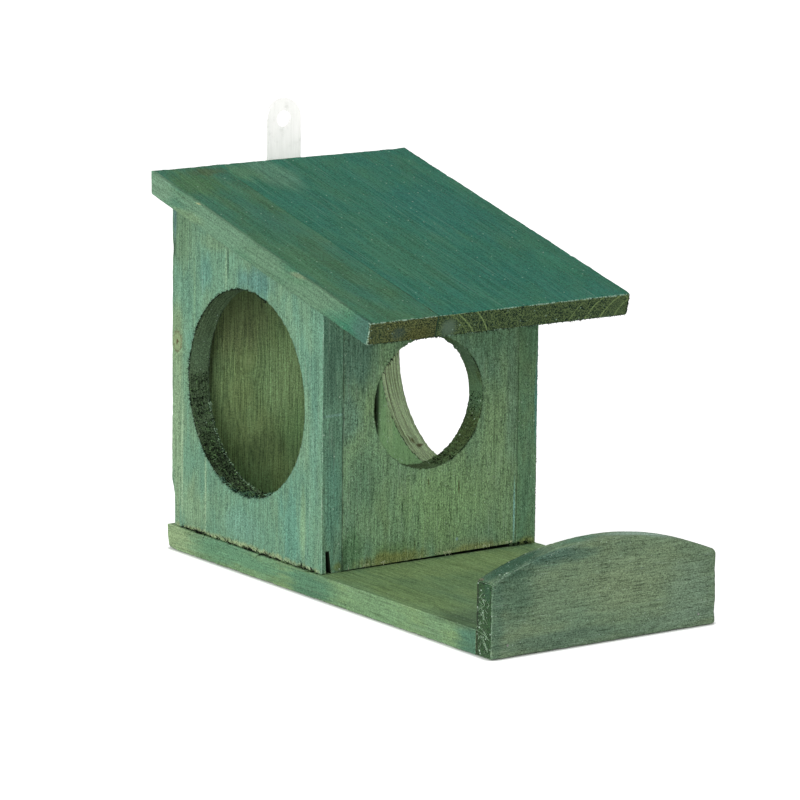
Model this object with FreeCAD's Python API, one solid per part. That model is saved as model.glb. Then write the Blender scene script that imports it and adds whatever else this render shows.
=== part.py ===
import FreeCAD, Part
import math
import os

# Squirrel feeder box: an open-sided wooden house on a base board with an
# arched lip in front, a sloping two-board roof and a metal hanger strap.
# Millimetres. X runs across the width, Y from the lip (-) to the rear (+),
# Z is up. The origin is the middle of the footprint on the underside.

# Overall sizes
overall_length = 250.0
roof_rear_height = 175.0
roof_width = 140.0

# Boards
board_thickness = 11.0
roof_thickness = 10.5
edge_round = 0.6
lip_edge_round = 1.1

# Base and lip
base_width = 120.0
lip_side_height = 32.5
lip_apex_height = 45.0

# House
house_width = 117.0
house_front_from_rear = 122.5
hole_height = 81.8
side_hole_diameter = 93.0
side_hole_from_rear = 62.0
front_hole_diameter = 59.0
front_hole_offset = -1.5
front_wall_gap_left = 0.3
front_wall_gap_right = 1.1

# Split in the bottom of the left wall's front edge
split_height = 10.5
split_width_top = 1.1
split_width_bottom = 1.9
split_depth = 6.0
split_from_outer_face = 4.6
split_lean = 1.2

# Roof
roof_angle = 14.0
roof_front_from_rear = 174.3
roof_left_board_width = 36.0

# Hanger strap
strap_width = 19.0
strap_thickness = 1.5
strap_length = 90.0
strap_offset = 2.0
strap_above_roof = 27.7
strap_hole_diameter = 7.5
strap_edge_round = 0.3

# Screws that hold the strap
screw_shank_diameter = 3.0
screw_hole_clearance = 0.2
screw_head_diameter = 6.4
screw_head_height = 1.9
screw_head_round = 0.7
screw_length = 11.0
screw_point = 2.5
screw_drive_width = 0.8
screw_drive_depth = 0.8
screw_from_strap_end = 14.0
screw_spacing = 26.0

# Nails from below
nail_diameter = 1.8
nail_head_diameter = 4.0
nail_head_height = 0.8
nail_length = 27.0
nail_point = 2.0
nail_inset_rear = 20.0
nail_inset_front = 22.0

# Headless pins
pin_diameter = 1.0
pin_length = 21.0
wall_pin_low = 19.0
wall_pin_below_roof = 16.0
roof_pin_inset = 26.0
lip_pin_height = 5.2
lip_pin_inset = 9.0

# Derived places
rear_y = overall_length / 2.0
front_y = -overall_length / 2.0
base_front_y = front_y + board_thickness
house_rear_y = rear_y - strap_thickness
house_front_y = rear_y - house_front_from_rear
side_hole_y = rear_y - side_hole_from_rear
roof_front_y = rear_y - roof_front_from_rear
roof_tilt = math.radians(roof_angle)
roof_left_x = -roof_width / 2.0
roof_seam_x = roof_left_x + roof_left_board_width
house_side_x = house_width / 2.0
room_side_x = house_side_x - board_thickness
wall_middle_x = house_side_x - board_thickness / 2.0
front_wall_middle_y = house_front_y + board_thickness / 2.0
back_wall_middle_y = house_rear_y - board_thickness / 2.0
strap_top_z = roof_rear_height + strap_above_roof
strap_bottom_z = strap_top_z - strap_length
strap_hole_z = strap_top_z - strap_width / 2.0


def point(x, y, z):
    """Return a vector for one place in the part's frame."""
    return FreeCAD.Vector(x, y, z)


def roof_top_z(y):
    """Height of the roof's upper face above the given depth."""
    return roof_rear_height - math.tan(roof_tilt) * (house_rear_y - y)


def roof_under_z(y):
    """Height of the roof's lower face above the given depth."""
    return roof_top_z(y) - roof_thickness / math.cos(roof_tilt)


def slab(corners, travel):
    """Closed polygon of corners swept along travel."""
    outline = Part.makePolygon(corners + [corners[0]])
    return Part.Face(outline).extrude(travel)


def bar(diameter, length, place, direction):
    """Round bar that starts at place and runs along direction."""
    return Part.makeCylinder(diameter / 2.0, length, place, direction)


def eased(solid, radius):
    """Solid with its edges rounded by radius."""
    return solid.makeFillet(radius, solid.Edges)


def in_pieces(solids):
    """Group of separate solids kept together in one shape."""
    return Part.makeCompound(solids)


def wall_profile(x, thickness, near_y, far_y, bottom_z):
    """Board that stands from bottom_z to the underside of the roof."""
    corners = [
        point(x, near_y, bottom_z),
        point(x, far_y, bottom_z),
        point(x, far_y, roof_under_z(far_y)),
        point(x, near_y, roof_under_z(near_y)),
    ]
    return slab(corners, point(thickness, 0, 0))


# Fastener places


def wall_pin_heights(y):
    """Heights of the lower and upper pin in the corner joint at depth y."""
    low = board_thickness + wall_pin_low
    high = roof_under_z(y) - wall_pin_below_roof
    return [low, high]


def corner_pins(y):
    """Pins through both side walls into the ends of the wall at depth y."""
    pins = []
    for side in (-1, 1):
        for z in wall_pin_heights(y):
            start = point(side * house_side_x, y, z)
            pins.append(bar(pin_diameter, pin_length, start, point(-side, 0, 0)))
    return pins


def roof_pin_solids():
    """Pins set square to the roof, down into the side walls."""
    pins = []
    down = point(0, math.sin(roof_tilt), -math.cos(roof_tilt))
    for side in (-1, 1):
        for y in (house_front_y + roof_pin_inset, house_rear_y - roof_pin_inset):
            start = point(side * wall_middle_x, y, roof_top_z(y))
            pins.append(bar(pin_diameter, pin_length, start, down))
    return pins


def lip_pin_solids():
    """Pins through the lip into the front end of the base."""
    pins = []
    for side in (-1, 1):
        x = side * (base_width / 2.0 - lip_pin_inset)
        start = point(x, front_y, lip_pin_height)
        pins.append(bar(pin_diameter, pin_length, start, point(0, 1, 0)))
    return pins


def nail_places():
    """Places on the underside where a nail goes up into a wall."""
    places = [(0.0, front_wall_middle_y), (0.0, back_wall_middle_y)]
    for side in (-1, 1):
        places.append((side * wall_middle_x, house_front_y + nail_inset_front))
        places.append((side * wall_middle_x, house_rear_y - nail_inset_rear))
    return places


def nail(x, y):
    """Flat-headed nail with a conical point, head flush with the underside."""
    up = point(0, 0, 1)
    shank_length = nail_length - nail_point
    head = bar(nail_head_diameter, nail_head_height, point(x, y, 0), up)
    shank = bar(nail_diameter, shank_length, point(x, y, 0), up)
    tip = Part.makeCone(nail_diameter / 2.0, 0, nail_point, point(x, y, shank_length), up)
    return head.fuse([shank, tip]).removeSplitter()


def screw_heights():
    """Heights of the lower and upper screw in the strap."""
    low = strap_bottom_z + screw_from_strap_end
    return [low, low + screw_spacing]


def screw(z):
    """Slotted round-head screw that lies along Y, its head behind the strap."""
    forward = point(0, -1, 0)
    backward = point(0, 1, 0)
    centre = point(strap_offset, rear_y, z)
    head_radius = screw_head_diameter / 2.0
    shank_radius = screw_shank_diameter / 2.0
    straight = screw_length - screw_point
    head = eased(bar(screw_head_diameter, screw_head_height, centre, backward), screw_head_round)
    shank = bar(screw_shank_diameter, straight, centre, forward)
    tip_place = point(strap_offset, rear_y - straight, z)
    tip = Part.makeCone(shank_radius, 0, screw_point, tip_place, forward)
    slot = Part.makeBox(2.0 * head_radius, screw_drive_depth, screw_drive_width,
                        point(strap_offset - head_radius,
                              rear_y + screw_head_height - screw_drive_depth,
                              z - screw_drive_width / 2.0))
    return head.fuse([shank, tip]).cut(slot)


front_pins = corner_pins(front_wall_middle_y)
back_pins = corner_pins(back_wall_middle_y)
roof_pin_group = roof_pin_solids()
lip_pin_group = lip_pin_solids()
nails = [nail(x, y) for x, y in nail_places()]
screws = [screw(z) for z in screw_heights()]

# Boards


def base_board():
    """Flat board under the house, drilled for the nails and lip pins."""
    board = Part.makeBox(base_width, rear_y - base_front_y, board_thickness,
                         point(-base_width / 2.0, base_front_y, 0))
    return eased(board, edge_round).cut(nails + lip_pin_group)


def lip_board():
    """Board on the front end of the base with an arched top."""
    half = base_width / 2.0
    low_left = point(-half, front_y, 0)
    low_right = point(half, front_y, 0)
    high_right = point(half, front_y, lip_side_height)
    high_left = point(-half, front_y, lip_side_height)
    apex = point(0, front_y, lip_apex_height)
    outline = Part.Wire([
        Part.makeLine(low_left, low_right),
        Part.makeLine(low_right, high_right),
        Part.Arc(high_right, apex, high_left).toShape(),
        Part.makeLine(high_left, low_left),
    ])
    board = Part.Face(outline).extrude(point(0, board_thickness, 0))
    return eased(board, lip_edge_round).cut(lip_pin_group)


def side_wall(side):
    """Outer wall with the large round hole; side is -1 on the left, 1 on the right."""
    near_x = -house_side_x if side < 0 else room_side_x
    board = wall_profile(near_x, board_thickness, house_front_y, house_rear_y, board_thickness)
    hole = bar(side_hole_diameter, board_thickness,
               point(near_x, side_hole_y, hole_height), point(1, 0, 0))
    fasteners = nails + front_pins + back_pins + roof_pin_group
    return eased(board, edge_round).cut([hole] + fasteners)


def split():
    """Leaning wedge missing from the bottom of the left wall's front edge."""
    low_x = -house_side_x + split_from_outer_face
    high_x = low_x - split_lean
    top_z = board_thickness + split_height
    corners = [
        point(low_x - split_width_bottom / 2.0, house_front_y, board_thickness),
        point(low_x + split_width_bottom / 2.0, house_front_y, board_thickness),
        point(high_x + split_width_top / 2.0, house_front_y, top_z),
        point(high_x - split_width_top / 2.0, house_front_y, top_z),
    ]
    return slab(corners, point(0, split_depth, 0))


def front_wall():
    """Wall between the side walls with the smaller hole and a skewed bottom."""
    board = wall_profile(-room_side_x, 2.0 * room_side_x, house_front_y,
                         house_front_y + board_thickness, board_thickness)
    left_z = board_thickness + front_wall_gap_left
    right_z = board_thickness + front_wall_gap_right
    cut_line = slab([
        point(-room_side_x, house_front_y, left_z),
        point(room_side_x, house_front_y, right_z),
        point(room_side_x, house_front_y, roof_rear_height),
        point(-room_side_x, house_front_y, roof_rear_height),
    ], point(0, board_thickness, 0))
    hole = bar(front_hole_diameter, board_thickness,
               point(front_hole_offset, house_front_y, hole_height), point(0, 1, 0))
    return eased(board.common(cut_line), edge_round).cut([hole] + nails + front_pins)


def back_wall():
    """Closed wall between the side walls, drilled for the strap's screws."""
    near_y = house_rear_y - board_thickness
    board = wall_profile(-room_side_x, 2.0 * room_side_x, near_y, house_rear_y, board_thickness)
    return eased(board, edge_round).cut(nails + back_pins + screws)


def roof_board(left_x, width):
    """Sloping board, plumb at the rear and square to the slope in front."""
    front_top_z = roof_top_z(roof_front_y)
    corners = [
        point(left_x, house_rear_y, roof_rear_height),
        point(left_x, house_rear_y, roof_under_z(house_rear_y)),
        point(left_x, roof_front_y + roof_thickness * math.sin(roof_tilt),
              front_top_z - roof_thickness * math.cos(roof_tilt)),
        point(left_x, roof_front_y, front_top_z),
    ]
    board = slab(corners, point(width, 0, 0))
    return eased(board, edge_round).cut(roof_pin_group)


def hanger_strap():
    """Flat strap behind the roof with a round top and its holes."""
    half = strap_width / 2.0
    shoulder_z = strap_hole_z
    low_left = point(strap_offset - half, house_rear_y, strap_bottom_z)
    low_right = point(strap_offset + half, house_rear_y, strap_bottom_z)
    high_right = point(strap_offset + half, house_rear_y, shoulder_z)
    high_left = point(strap_offset - half, house_rear_y, shoulder_z)
    crown = point(strap_offset, house_rear_y, strap_top_z)
    outline = Part.Wire([
        Part.makeLine(low_left, low_right),
        Part.makeLine(low_right, high_right),
        Part.Arc(high_right, crown, high_left).toShape(),
        Part.makeLine(high_left, low_left),
    ])
    strip = Part.Face(outline).extrude(point(0, strap_thickness, 0))
    through = point(0, 1, 0)
    holes = [bar(strap_hole_diameter, strap_thickness,
                 point(strap_offset, house_rear_y, strap_hole_z), through)]
    for z in screw_heights():
        holes.append(bar(screw_shank_diameter + screw_hole_clearance, strap_thickness,
                         point(strap_offset, house_rear_y, z), through))
    return eased(strip, strap_edge_round).cut(holes)


pieces = {
    "base_board": base_board(),
    "lip_board": lip_board(),
    "left_wall": side_wall(-1).cut(split()),
    "right_wall": side_wall(1),
    "front_wall": front_wall(),
    "back_wall": back_wall(),
    "roof_board_left": roof_board(roof_left_x, roof_left_board_width),
    "roof_board_right": roof_board(roof_seam_x, roof_width - roof_left_board_width),
    "hanger_strap": hanger_strap(),
    "hanger_screws": in_pieces(screws),
    "base_nails": in_pieces(nails),
    "front_wall_pins": in_pieces(front_pins),
    "back_wall_pins": in_pieces(back_pins),
    "roof_pins": in_pieces(roof_pin_group),
    "lip_pins": in_pieces(lip_pin_group),
}

os.makedirs("parts", exist_ok=True)
for name, shape in pieces.items():
    shape.exportStep("parts/" + name + ".step")
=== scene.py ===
"""Squirrel feeder box of stained softwood: boards, hole rims, fuzz, strap and fasteners.

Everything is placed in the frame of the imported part: X across the width, Y from the lip (-) to the
rear (+), Z up, in metres. Shapes are worked out in millimetres and turned into metres in one place.
"""

import logging
import math
from dataclasses import dataclass, field, replace
from enum import Enum
from typing import Sequence

import bpy
import numpy as np
from mathutils import Matrix, Vector


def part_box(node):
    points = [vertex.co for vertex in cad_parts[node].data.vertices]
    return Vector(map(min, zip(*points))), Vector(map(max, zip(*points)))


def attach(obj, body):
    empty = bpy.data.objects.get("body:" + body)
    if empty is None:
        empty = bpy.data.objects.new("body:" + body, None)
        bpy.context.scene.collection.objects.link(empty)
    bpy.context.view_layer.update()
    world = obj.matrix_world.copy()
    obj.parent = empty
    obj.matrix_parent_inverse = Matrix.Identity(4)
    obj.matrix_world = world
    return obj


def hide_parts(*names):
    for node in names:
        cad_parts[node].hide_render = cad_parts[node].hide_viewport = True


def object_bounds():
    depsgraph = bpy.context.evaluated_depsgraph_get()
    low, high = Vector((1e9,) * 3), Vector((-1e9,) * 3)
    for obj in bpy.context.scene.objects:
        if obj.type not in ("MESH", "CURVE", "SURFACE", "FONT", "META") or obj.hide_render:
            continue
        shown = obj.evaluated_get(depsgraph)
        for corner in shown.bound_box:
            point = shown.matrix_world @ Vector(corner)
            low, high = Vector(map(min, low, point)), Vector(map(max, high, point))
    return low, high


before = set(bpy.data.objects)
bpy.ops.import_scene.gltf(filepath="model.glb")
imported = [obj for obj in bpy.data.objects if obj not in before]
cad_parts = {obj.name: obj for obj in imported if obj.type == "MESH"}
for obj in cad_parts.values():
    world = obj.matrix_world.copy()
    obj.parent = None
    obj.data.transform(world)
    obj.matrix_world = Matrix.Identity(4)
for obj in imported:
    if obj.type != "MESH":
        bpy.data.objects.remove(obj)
CAD_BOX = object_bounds()

Array = np.ndarray
Colour = tuple[float, float, float]
Pair = tuple[float, float]
Place = tuple[float, float, float]
Socket = bpy.types.NodeSocket
Tree = bpy.types.NodeTree
Material = bpy.types.Material

MM = 0.001
VECTOR = "NodeSocketVector"
NUMBER = "NodeSocketFloat"
WHITE = (1, 1, 1, 1)
LOG = logging.getLogger("feeder_box")


def grid_noise(points: Array, cell: float | Sequence[float], seed: int) -> Array:
    """Smooth random field: random values at the corners of a lattice, blended by an S-curve.

    Args:
        points: places in millimetres, shape (..., 3).
        cell: size of one lattice cell, the same on each axis or one number for each.
        seed: picks the random field.

    Returns:
        Values from -1 to 1, shape (...).
    """
    table = np.random.default_rng(seed).uniform(-1.0, 1.0, 4096)
    spot = points / np.asarray(cell, float) + 512.0
    base = np.floor(spot).astype(np.int64)
    share = spot - base
    share = share * share * (3.0 - 2.0 * share)
    total = np.zeros(points.shape[:-1])
    for corner in np.ndindex(2, 2, 2):
        near = base + np.array(corner)
        key = (near[..., 0] * 73856093) ^ (near[..., 1] * 19349663) ^ (near[..., 2] * 83492791)
        weight = np.prod(np.where(np.array(corner), share, 1.0 - share), axis=-1)
        total += weight * table[key % 4096]
    return total


def rise(value: Array, low: float, high: float) -> Array:
    """S-curve that is 0 below low and 1 above high; high may be the smaller one."""
    share = np.clip((value - low) / (high - low), 0.0, 1.0)
    return share * share * (3.0 - 2.0 * share)


def stations(length: float, step: float, round_over: float, fine: Sequence[float] = ()) -> Array:
    """Places along an edge, close together at both ends and round each fine place.

    Args:
        length: length of the edge in millimetres.
        step: spacing in the plain middle.
        round_over: radius of the rounding at both ends, which gets six lines.
        fine: places that get close lines of their own.

    Returns:
        Rising places from 0 to length.
    """
    near = round_over * np.array([0.1, 0.28, 0.5, 0.75, 1.0, 1.2, 2.0])
    close = np.array([-2.4, -1.7, -1.2, -0.8, -0.4, 0.0, 0.4, 0.8, 1.2, 1.7, 2.4])
    rows = [np.linspace(0.0, length, max(2, round(length / step) + 1)), near, length - near]
    rows += [place + close for place in fine]
    line = np.unique(np.round(np.concatenate(rows) / 0.05)) * 0.05
    line = line[(line > 0.04) & (line < length - 0.04)]
    return np.concatenate([[0.0], line, [length]])


def board_marks(edge: Array, cut: Array | float = 0.0, grime: Array | float = 0.0) -> dict[str, Array]:
    """Values that a board's finish reads: distance to a free edge, sawn or not, and share of dirt and
    painted shade.
    """
    none = np.zeros(len(edge))
    return {"edge": edge, "cut": none + cut, "grime": none + grime}


@dataclass
class Shell:
    """A closed surface.

    Attributes:
        points: places in millimetres.
        faces: blocks of faces with equal numbers of corners, as point numbers.
        marks: values per point, by name.
    """

    points: Array
    faces: list[Array]
    marks: dict[str, Array] = field(default_factory=dict)

    def joined(self, other: "Shell") -> "Shell":
        """Both surfaces in one, kept apart from each other.

        Args:
            other: the surface to add.

        Returns:
            One shell with the faces of both.
        """
        start = len(self.points)
        marks = {name: np.concatenate([self.marks[name], other.marks[name]]) for name in self.marks}
        return Shell(np.concatenate([self.points, other.points]),
                     self.faces + [face + start for face in other.faces], marks)

    def piece(self, name: str, finish: Material) -> bpy.types.Object:
        """Makes the Blender object, in metres, smooth and dressed.

        Args:
            name: name of the object and its mesh.
            finish: material of the whole surface.

        Returns:
            The object, linked and riding on the part's body.
        """
        mesh = bpy.data.meshes.new(name)
        faces = [row for block in self.faces for row in block.tolist()]
        mesh.from_pydata((self.points * MM).tolist(), [], faces)
        for mark, values in self.marks.items():
            layer = mesh.attributes.new(mark, "FLOAT", "POINT")
            layer.data.foreach_set("value", values.astype(np.float32))
        mesh.polygons.foreach_set("use_smooth", np.ones(len(faces), bool))
        mesh.materials.append(finish)
        mesh.update()
        made = bpy.data.objects.new(name, mesh)
        bpy.context.scene.collection.objects.link(made)
        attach(made, "root")
        LOG.info("%s: %d points, %d faces", name, len(mesh.vertices), len(mesh.polygons))
        return made


def sheet_faces(ids: Array) -> Array:
    """Quads of a grid of point numbers; the face looks along (second axis) x (first axis)."""
    return np.stack([ids[:-1, :-1], ids[:-1, 1:], ids[1:, 1:], ids[1:, :-1]], -1).reshape(-1, 4)


def block_grid(xs: Array, ys: Array, zs: Array) -> tuple[Array, Array]:
    """Surface of a block on its own grid lines: the six outer layers of a lattice.

    Args:
        xs: rising grid lines across.
        ys: rising grid lines along.
        zs: rising grid lines up.

    Returns:
        Points (n, 3) and quads (m, 4) that face outwards.
    """
    ids = np.arange(len(xs) * len(ys) * len(zs)).reshape(len(xs), len(ys), len(zs))
    quads = np.concatenate([
        sheet_faces(ids[0]), sheet_faces(ids[-1])[:, ::-1],
        sheet_faces(ids[:, 0])[:, ::-1], sheet_faces(ids[:, -1]),
        sheet_faces(ids[:, :, 0]), sheet_faces(ids[:, :, -1])[:, ::-1],
    ])
    lattice = np.stack(np.meshgrid(xs, ys, zs, indexing="ij"), -1).reshape(-1, 3)
    used, quads = np.unique(quads, return_inverse=True)
    return lattice[used], quads.reshape(-1, 4)


def norms(vectors: Array) -> Array:
    """Length of each vector."""
    return np.linalg.norm(vectors, axis=-1)


def unit(vectors: Array) -> Array:
    """Direction of each vector, as a vector of length 1."""
    return vectors / np.maximum(norms(vectors), 1e-9)[..., None]


def edge_gap(points: Array, low: Array, high: Array) -> Array:
    """Distance of a surface point from the nearest edge: the second smallest gap to the sides."""
    return np.sort(np.minimum(points - low, high - points), axis=-1)[..., 1]


def eased(points: Array, low: Array, high: Array, radius: Array) -> tuple[Array, Array]:
    """Rounds a block's edges: each point goes to its radius away from the block shrunk by it.

    Args:
        points: places on the sharp block.
        low: lower sides of the block at each place.
        high: upper sides of the block at each place.
        radius: rounding at each place, shape (n,).

    Returns:
        The rounded places and their outward directions.
    """
    inset = radius[:, None]
    core = np.clip(points, low + inset, high - inset)
    away = unit(points - core)
    return core + away * inset, away


def worn_radius(points: Array, radius: float, seed: int) -> Array:
    """Edge rounding that swells and shrinks along the edge, with a few small chips."""
    sway = 1.0 + 0.45 * grid_noise(points, 4.0, seed) + 0.3 * grid_noise(points, 1.3, seed + 1)
    chips = np.maximum(grid_noise(points, 2.6, seed + 2) - 0.62, 0.0) * 2.6
    return np.clip(radius * sway, 0.08, None) + chips * min(1.0, radius * 1.6)


def weathered(points: Array, away: Array, seed: int, depth: float = 0.12) -> Array:
    """Planed surface that is never quite flat: sinks by up to depth along its inward direction."""
    broad = grid_noise(points, 17.0, seed)
    close = grid_noise(points, 3.1, seed + 1)
    sink = depth * (0.5 + 0.38 * broad + 0.12 * close)
    return points - away * sink[:, None]


def dented(points: Array, away: Array, places: Sequence[Place], reach: float, depth: float) -> Array:
    """Flat-bottomed dent round each place, as where a nail head was driven in."""
    for place in places:
        gap = norms(points - np.array(place))
        points = points - away * (depth * rise(gap, reach + 0.35, reach - 0.1))[:, None]
    return points


def strands(roots: Array, ways: Array, lengths: Array, thick: Array, bend: float, seed: int) -> Shell:
    """Torn wood fibres: three-sided spikes that taper to a tip and curl by a parabola.

    Args:
        roots: where each fibre starts, shape (n, 3).
        ways: unit direction of each fibre.
        lengths: length of each fibre in millimetres.
        thick: radius of each fibre at its root.
        bend: sideways travel of the tip as a share of the length.
        seed: random curl.

    Returns:
        All fibres as one shell of closed spikes.
    """
    rng = np.random.default_rng(seed)
    count, rings = len(roots), 5
    side = unit(np.cross(ways, rng.normal(size=(count, 3))))
    other = np.cross(ways, side)
    along = np.linspace(0.0, 1.0, rings)
    curl = rng.uniform(-bend, bend, count)
    spine = (roots[:, None] + ways[:, None] * (along[:, None] * lengths[:, None, None])
             + side[:, None] * (along[:, None] ** 2 * (curl * lengths)[:, None, None]))
    taper = 1.0 - 0.85 * along
    radius = thick[:, None] * taper * rng.uniform(0.75, 1.25, (count, rings))
    turn = np.arange(3) * 2.0 * math.pi / 3.0
    cross = (side[:, None, None] * np.cos(turn)[:, None] + other[:, None, None] * np.sin(turn)[:, None])
    points = (spine[:, :, None] + cross * radius[:, :, None, None]).reshape(-1, 3)
    ids = np.arange(count * rings * 3).reshape(count, rings, 3)
    after = np.roll(ids, -1, axis=2)
    quads = np.stack([ids[:, :-1], after[:, :-1], after[:, 1:], ids[:, 1:]], -1).reshape(-1, 4)
    caps = np.concatenate([ids[:, 0, ::-1], ids[:, -1]])
    tone = np.repeat(rng.uniform(0.0, 1.0, count), rings * 3)
    return Shell(points, [quads, caps], {"tone": tone})


def turned(start: Array, way: Array, profile: Sequence[Pair], sides: int) -> Shell:
    """Surface of revolution: (distance, radius) pairs swept round an axis, closed at both poles.

    Args:
        start: where the axis starts, in millimetres.
        way: unit direction of the axis.
        profile: distance along the axis and radius there, poles left out.
        sides: number of points round each ring.

    Returns:
        A closed shell.
    """
    way = unit(way)
    side = unit(np.cross(way, [0.31, 0.87, 0.38]))
    other = np.cross(way, side)
    turn = np.arange(sides) * 2.0 * math.pi / sides
    ring = np.cos(turn)[:, None] * side + np.sin(turn)[:, None] * other
    steps = np.array(profile)
    points = (start + steps[:, :1, None].transpose(0, 2, 1) * way + steps[:, 1, None, None] * ring)
    poles = np.stack([start + way * steps[0, 0], start + way * steps[-1, 0]])
    ids = np.arange(len(steps) * sides).reshape(len(steps), sides)
    after = np.roll(ids, -1, axis=1)
    quads = np.stack([ids[:-1], after[:-1], after[1:], ids[1:]], -1).reshape(-1, 4)
    last = ids.size
    low = np.stack([after[0], ids[0], np.full(sides, last)], -1)
    high = np.stack([ids[-1], after[-1], np.full(sides, last + 1)], -1)
    return Shell(np.concatenate([points.reshape(-1, 3), poles]), [quads, low, high])


def paint(colour: Colour) -> tuple[float, float, float, float]:
    """Colour as written on screen, 0 to 255, as the linear values that a shader takes."""
    share = np.array(colour, float) / 255.0
    linear = np.where(share <= 0.04045, share / 12.92, ((share + 0.055) / 1.055) ** 2.4)
    return (*linear.tolist(), 1.0)


class EffectKind(Enum):
    """Effects that several materials share; the value names the node group."""

    FIGURE = "Wood figure"
    ARC = "Growth arc"
    MARKS = "Fibre marks"
    SPECKS = "Pale specks"
    PATCH = "Soft patch"
    WEAR = "Edge wear"
    SAWN = "Sawn surface"


class Wiring:
    """Short calls that add and join shader nodes in one tree."""

    def __init__(self, tree: Tree) -> None:
        """Keeps the tree that all calls add to."""
        self.tree = tree

    @classmethod
    def blank(cls, owner: bpy.types.ID) -> "Wiring":
        """Wiring of a new material or world, emptied first."""
        owner.use_nodes = True
        owner.node_tree.nodes.clear()
        return cls(owner.node_tree)

    def node(self, kind: str, feeds: dict | None = None, **settings: object) -> bpy.types.Node:
        """Adds one node.

        Args:
            kind: the node's type name.
            feeds: values or sockets for its inputs, by name or number.
            **settings: properties of the node.

        Returns:
            The new node.
        """
        made = self.tree.nodes.new(kind)
        for name, value in settings.items():
            setattr(made, name, value)
        for name, value in (feeds or {}).items():
            if isinstance(value, Socket):
                self.tree.links.new(value, made.inputs[name])
            else:
                made.inputs[name].default_value = value
        return made

    def math(self, operation: str, a: object, b: object = 0.0, c: object = 0.0) -> Socket:
        """Number worked out from up to three numbers."""
        return self.node("ShaderNodeMath", {0: a, 1: b, 2: c}, operation=operation).outputs[0]

    def times(self, a: object, b: object) -> Socket:
        """Product of two numbers."""
        return self.math("MULTIPLY", a, b)

    def fitted(self, a: object, factor: object, offset: object) -> Socket:
        """Number times a factor, plus an offset."""
        return self.math("MULTIPLY_ADD", a, factor, offset)

    def vector(self, operation: str, a: object, b: object = (0.0, 0.0, 0.0)) -> Socket:
        """Vector worked out from two vectors."""
        return self.node("ShaderNodeVectorMath", {0: a, 1: b}, operation=operation).outputs[0]

    def stretched(self, a: object, b: object) -> Socket:
        """Vector times a vector, axis by axis."""
        return self.vector("MULTIPLY", a, b)

    def scaled(self, a: object, scale: object) -> Socket:
        """Vector times a number."""
        return self.node("ShaderNodeVectorMath", {0: a, "Scale": scale}, operation="SCALE").outputs[0]

    def length(self, a: object) -> Socket:
        """Length of a vector."""
        return self.node("ShaderNodeVectorMath", {0: a}, operation="LENGTH").outputs["Value"]

    def band(self, value: object, low: object, high: object, down: bool = False) -> Socket:
        """S-curve from 0 to 1 as value goes from low to high, or from 1 to 0."""
        ends = (1.0, 0.0) if down else (0.0, 1.0)
        feeds = {"Value": value, "From Min": low, "From Max": high, "To Min": ends[0], "To Max": ends[1]}
        return self.node("ShaderNodeMapRange", feeds, interpolation_type="SMOOTHSTEP").outputs[0]

    def blend(self, share: object, a: object, b: object, mode: str = "MIX") -> Socket:
        """Colour between a and b."""
        return self.node("ShaderNodeMix", {0: share, 6: a, 7: b}, data_type="RGBA", blend_type=mode,
                         clamp_factor=True).outputs[2]

    def tinted(self, mask: object, strength: object, under: object, over: Colour) -> Socket:
        """Colour with another over it where the mask is, at the given strength."""
        return self.blend(self.times(mask, strength), under, paint(over))

    def noise(self, vector: object, detail: float = 2.0, rough: float = 0.5, out: int = 0) -> Socket:
        """Noise with cells of about one unit of the vector."""
        feeds = {"Vector": vector, "Scale": 1.0, "Detail": detail, "Roughness": rough}
        return self.node("ShaderNodeTexNoise", feeds).outputs[out]

    def grit(self, vector: object, scale: float) -> Socket:
        """Small irregular grains, each with its own value from 0 to 1."""
        cells = self.node("ShaderNodeTexVoronoi", {"Vector": vector, "Scale": scale})
        return self.node("ShaderNodeSeparateColor", {0: cells.outputs["Color"]}).outputs[0]

    def place(self) -> Socket:
        """Place on the part in millimetres."""
        return self.scaled(self.node("ShaderNodeTexCoord").outputs["Object"], 1.0 / MM)

    def mark(self, name: str) -> Socket:
        """One of the mesh's own values."""
        return self.node("ShaderNodeAttribute", attribute_name=name).outputs["Fac"]

    def facing(self, way: object) -> Socket:
        """How far the surface faces a way: 1 along it, 0 across it and -1 against it."""
        normal = self.node("ShaderNodeNewGeometry").outputs["Normal"]
        product = self.node("ShaderNodeVectorMath", {0: normal, 1: way}, operation="DOT_PRODUCT")
        return product.outputs["Value"]

    def finish(self, height: Socket, depth: float, feeds: dict) -> None:
        """Ends a material with a Principled shader over a bump of a depth in millimetres."""
        normal = self.node("ShaderNodeBump", {"Height": height, "Distance": depth * MM})
        shader = self.node("ShaderNodeBsdfPrincipled", {"Normal": normal.outputs[0], **feeds})
        self.node("ShaderNodeOutputMaterial", {"Surface": shader.outputs[0]})

    def effect(self, kind: EffectKind, feeds: dict) -> dict[str, Socket]:
        """Outputs of a shared effect that is placed in this tree."""
        return self.node("ShaderNodeGroup", feeds, node_tree=Effects().group(kind)).outputs


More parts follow.
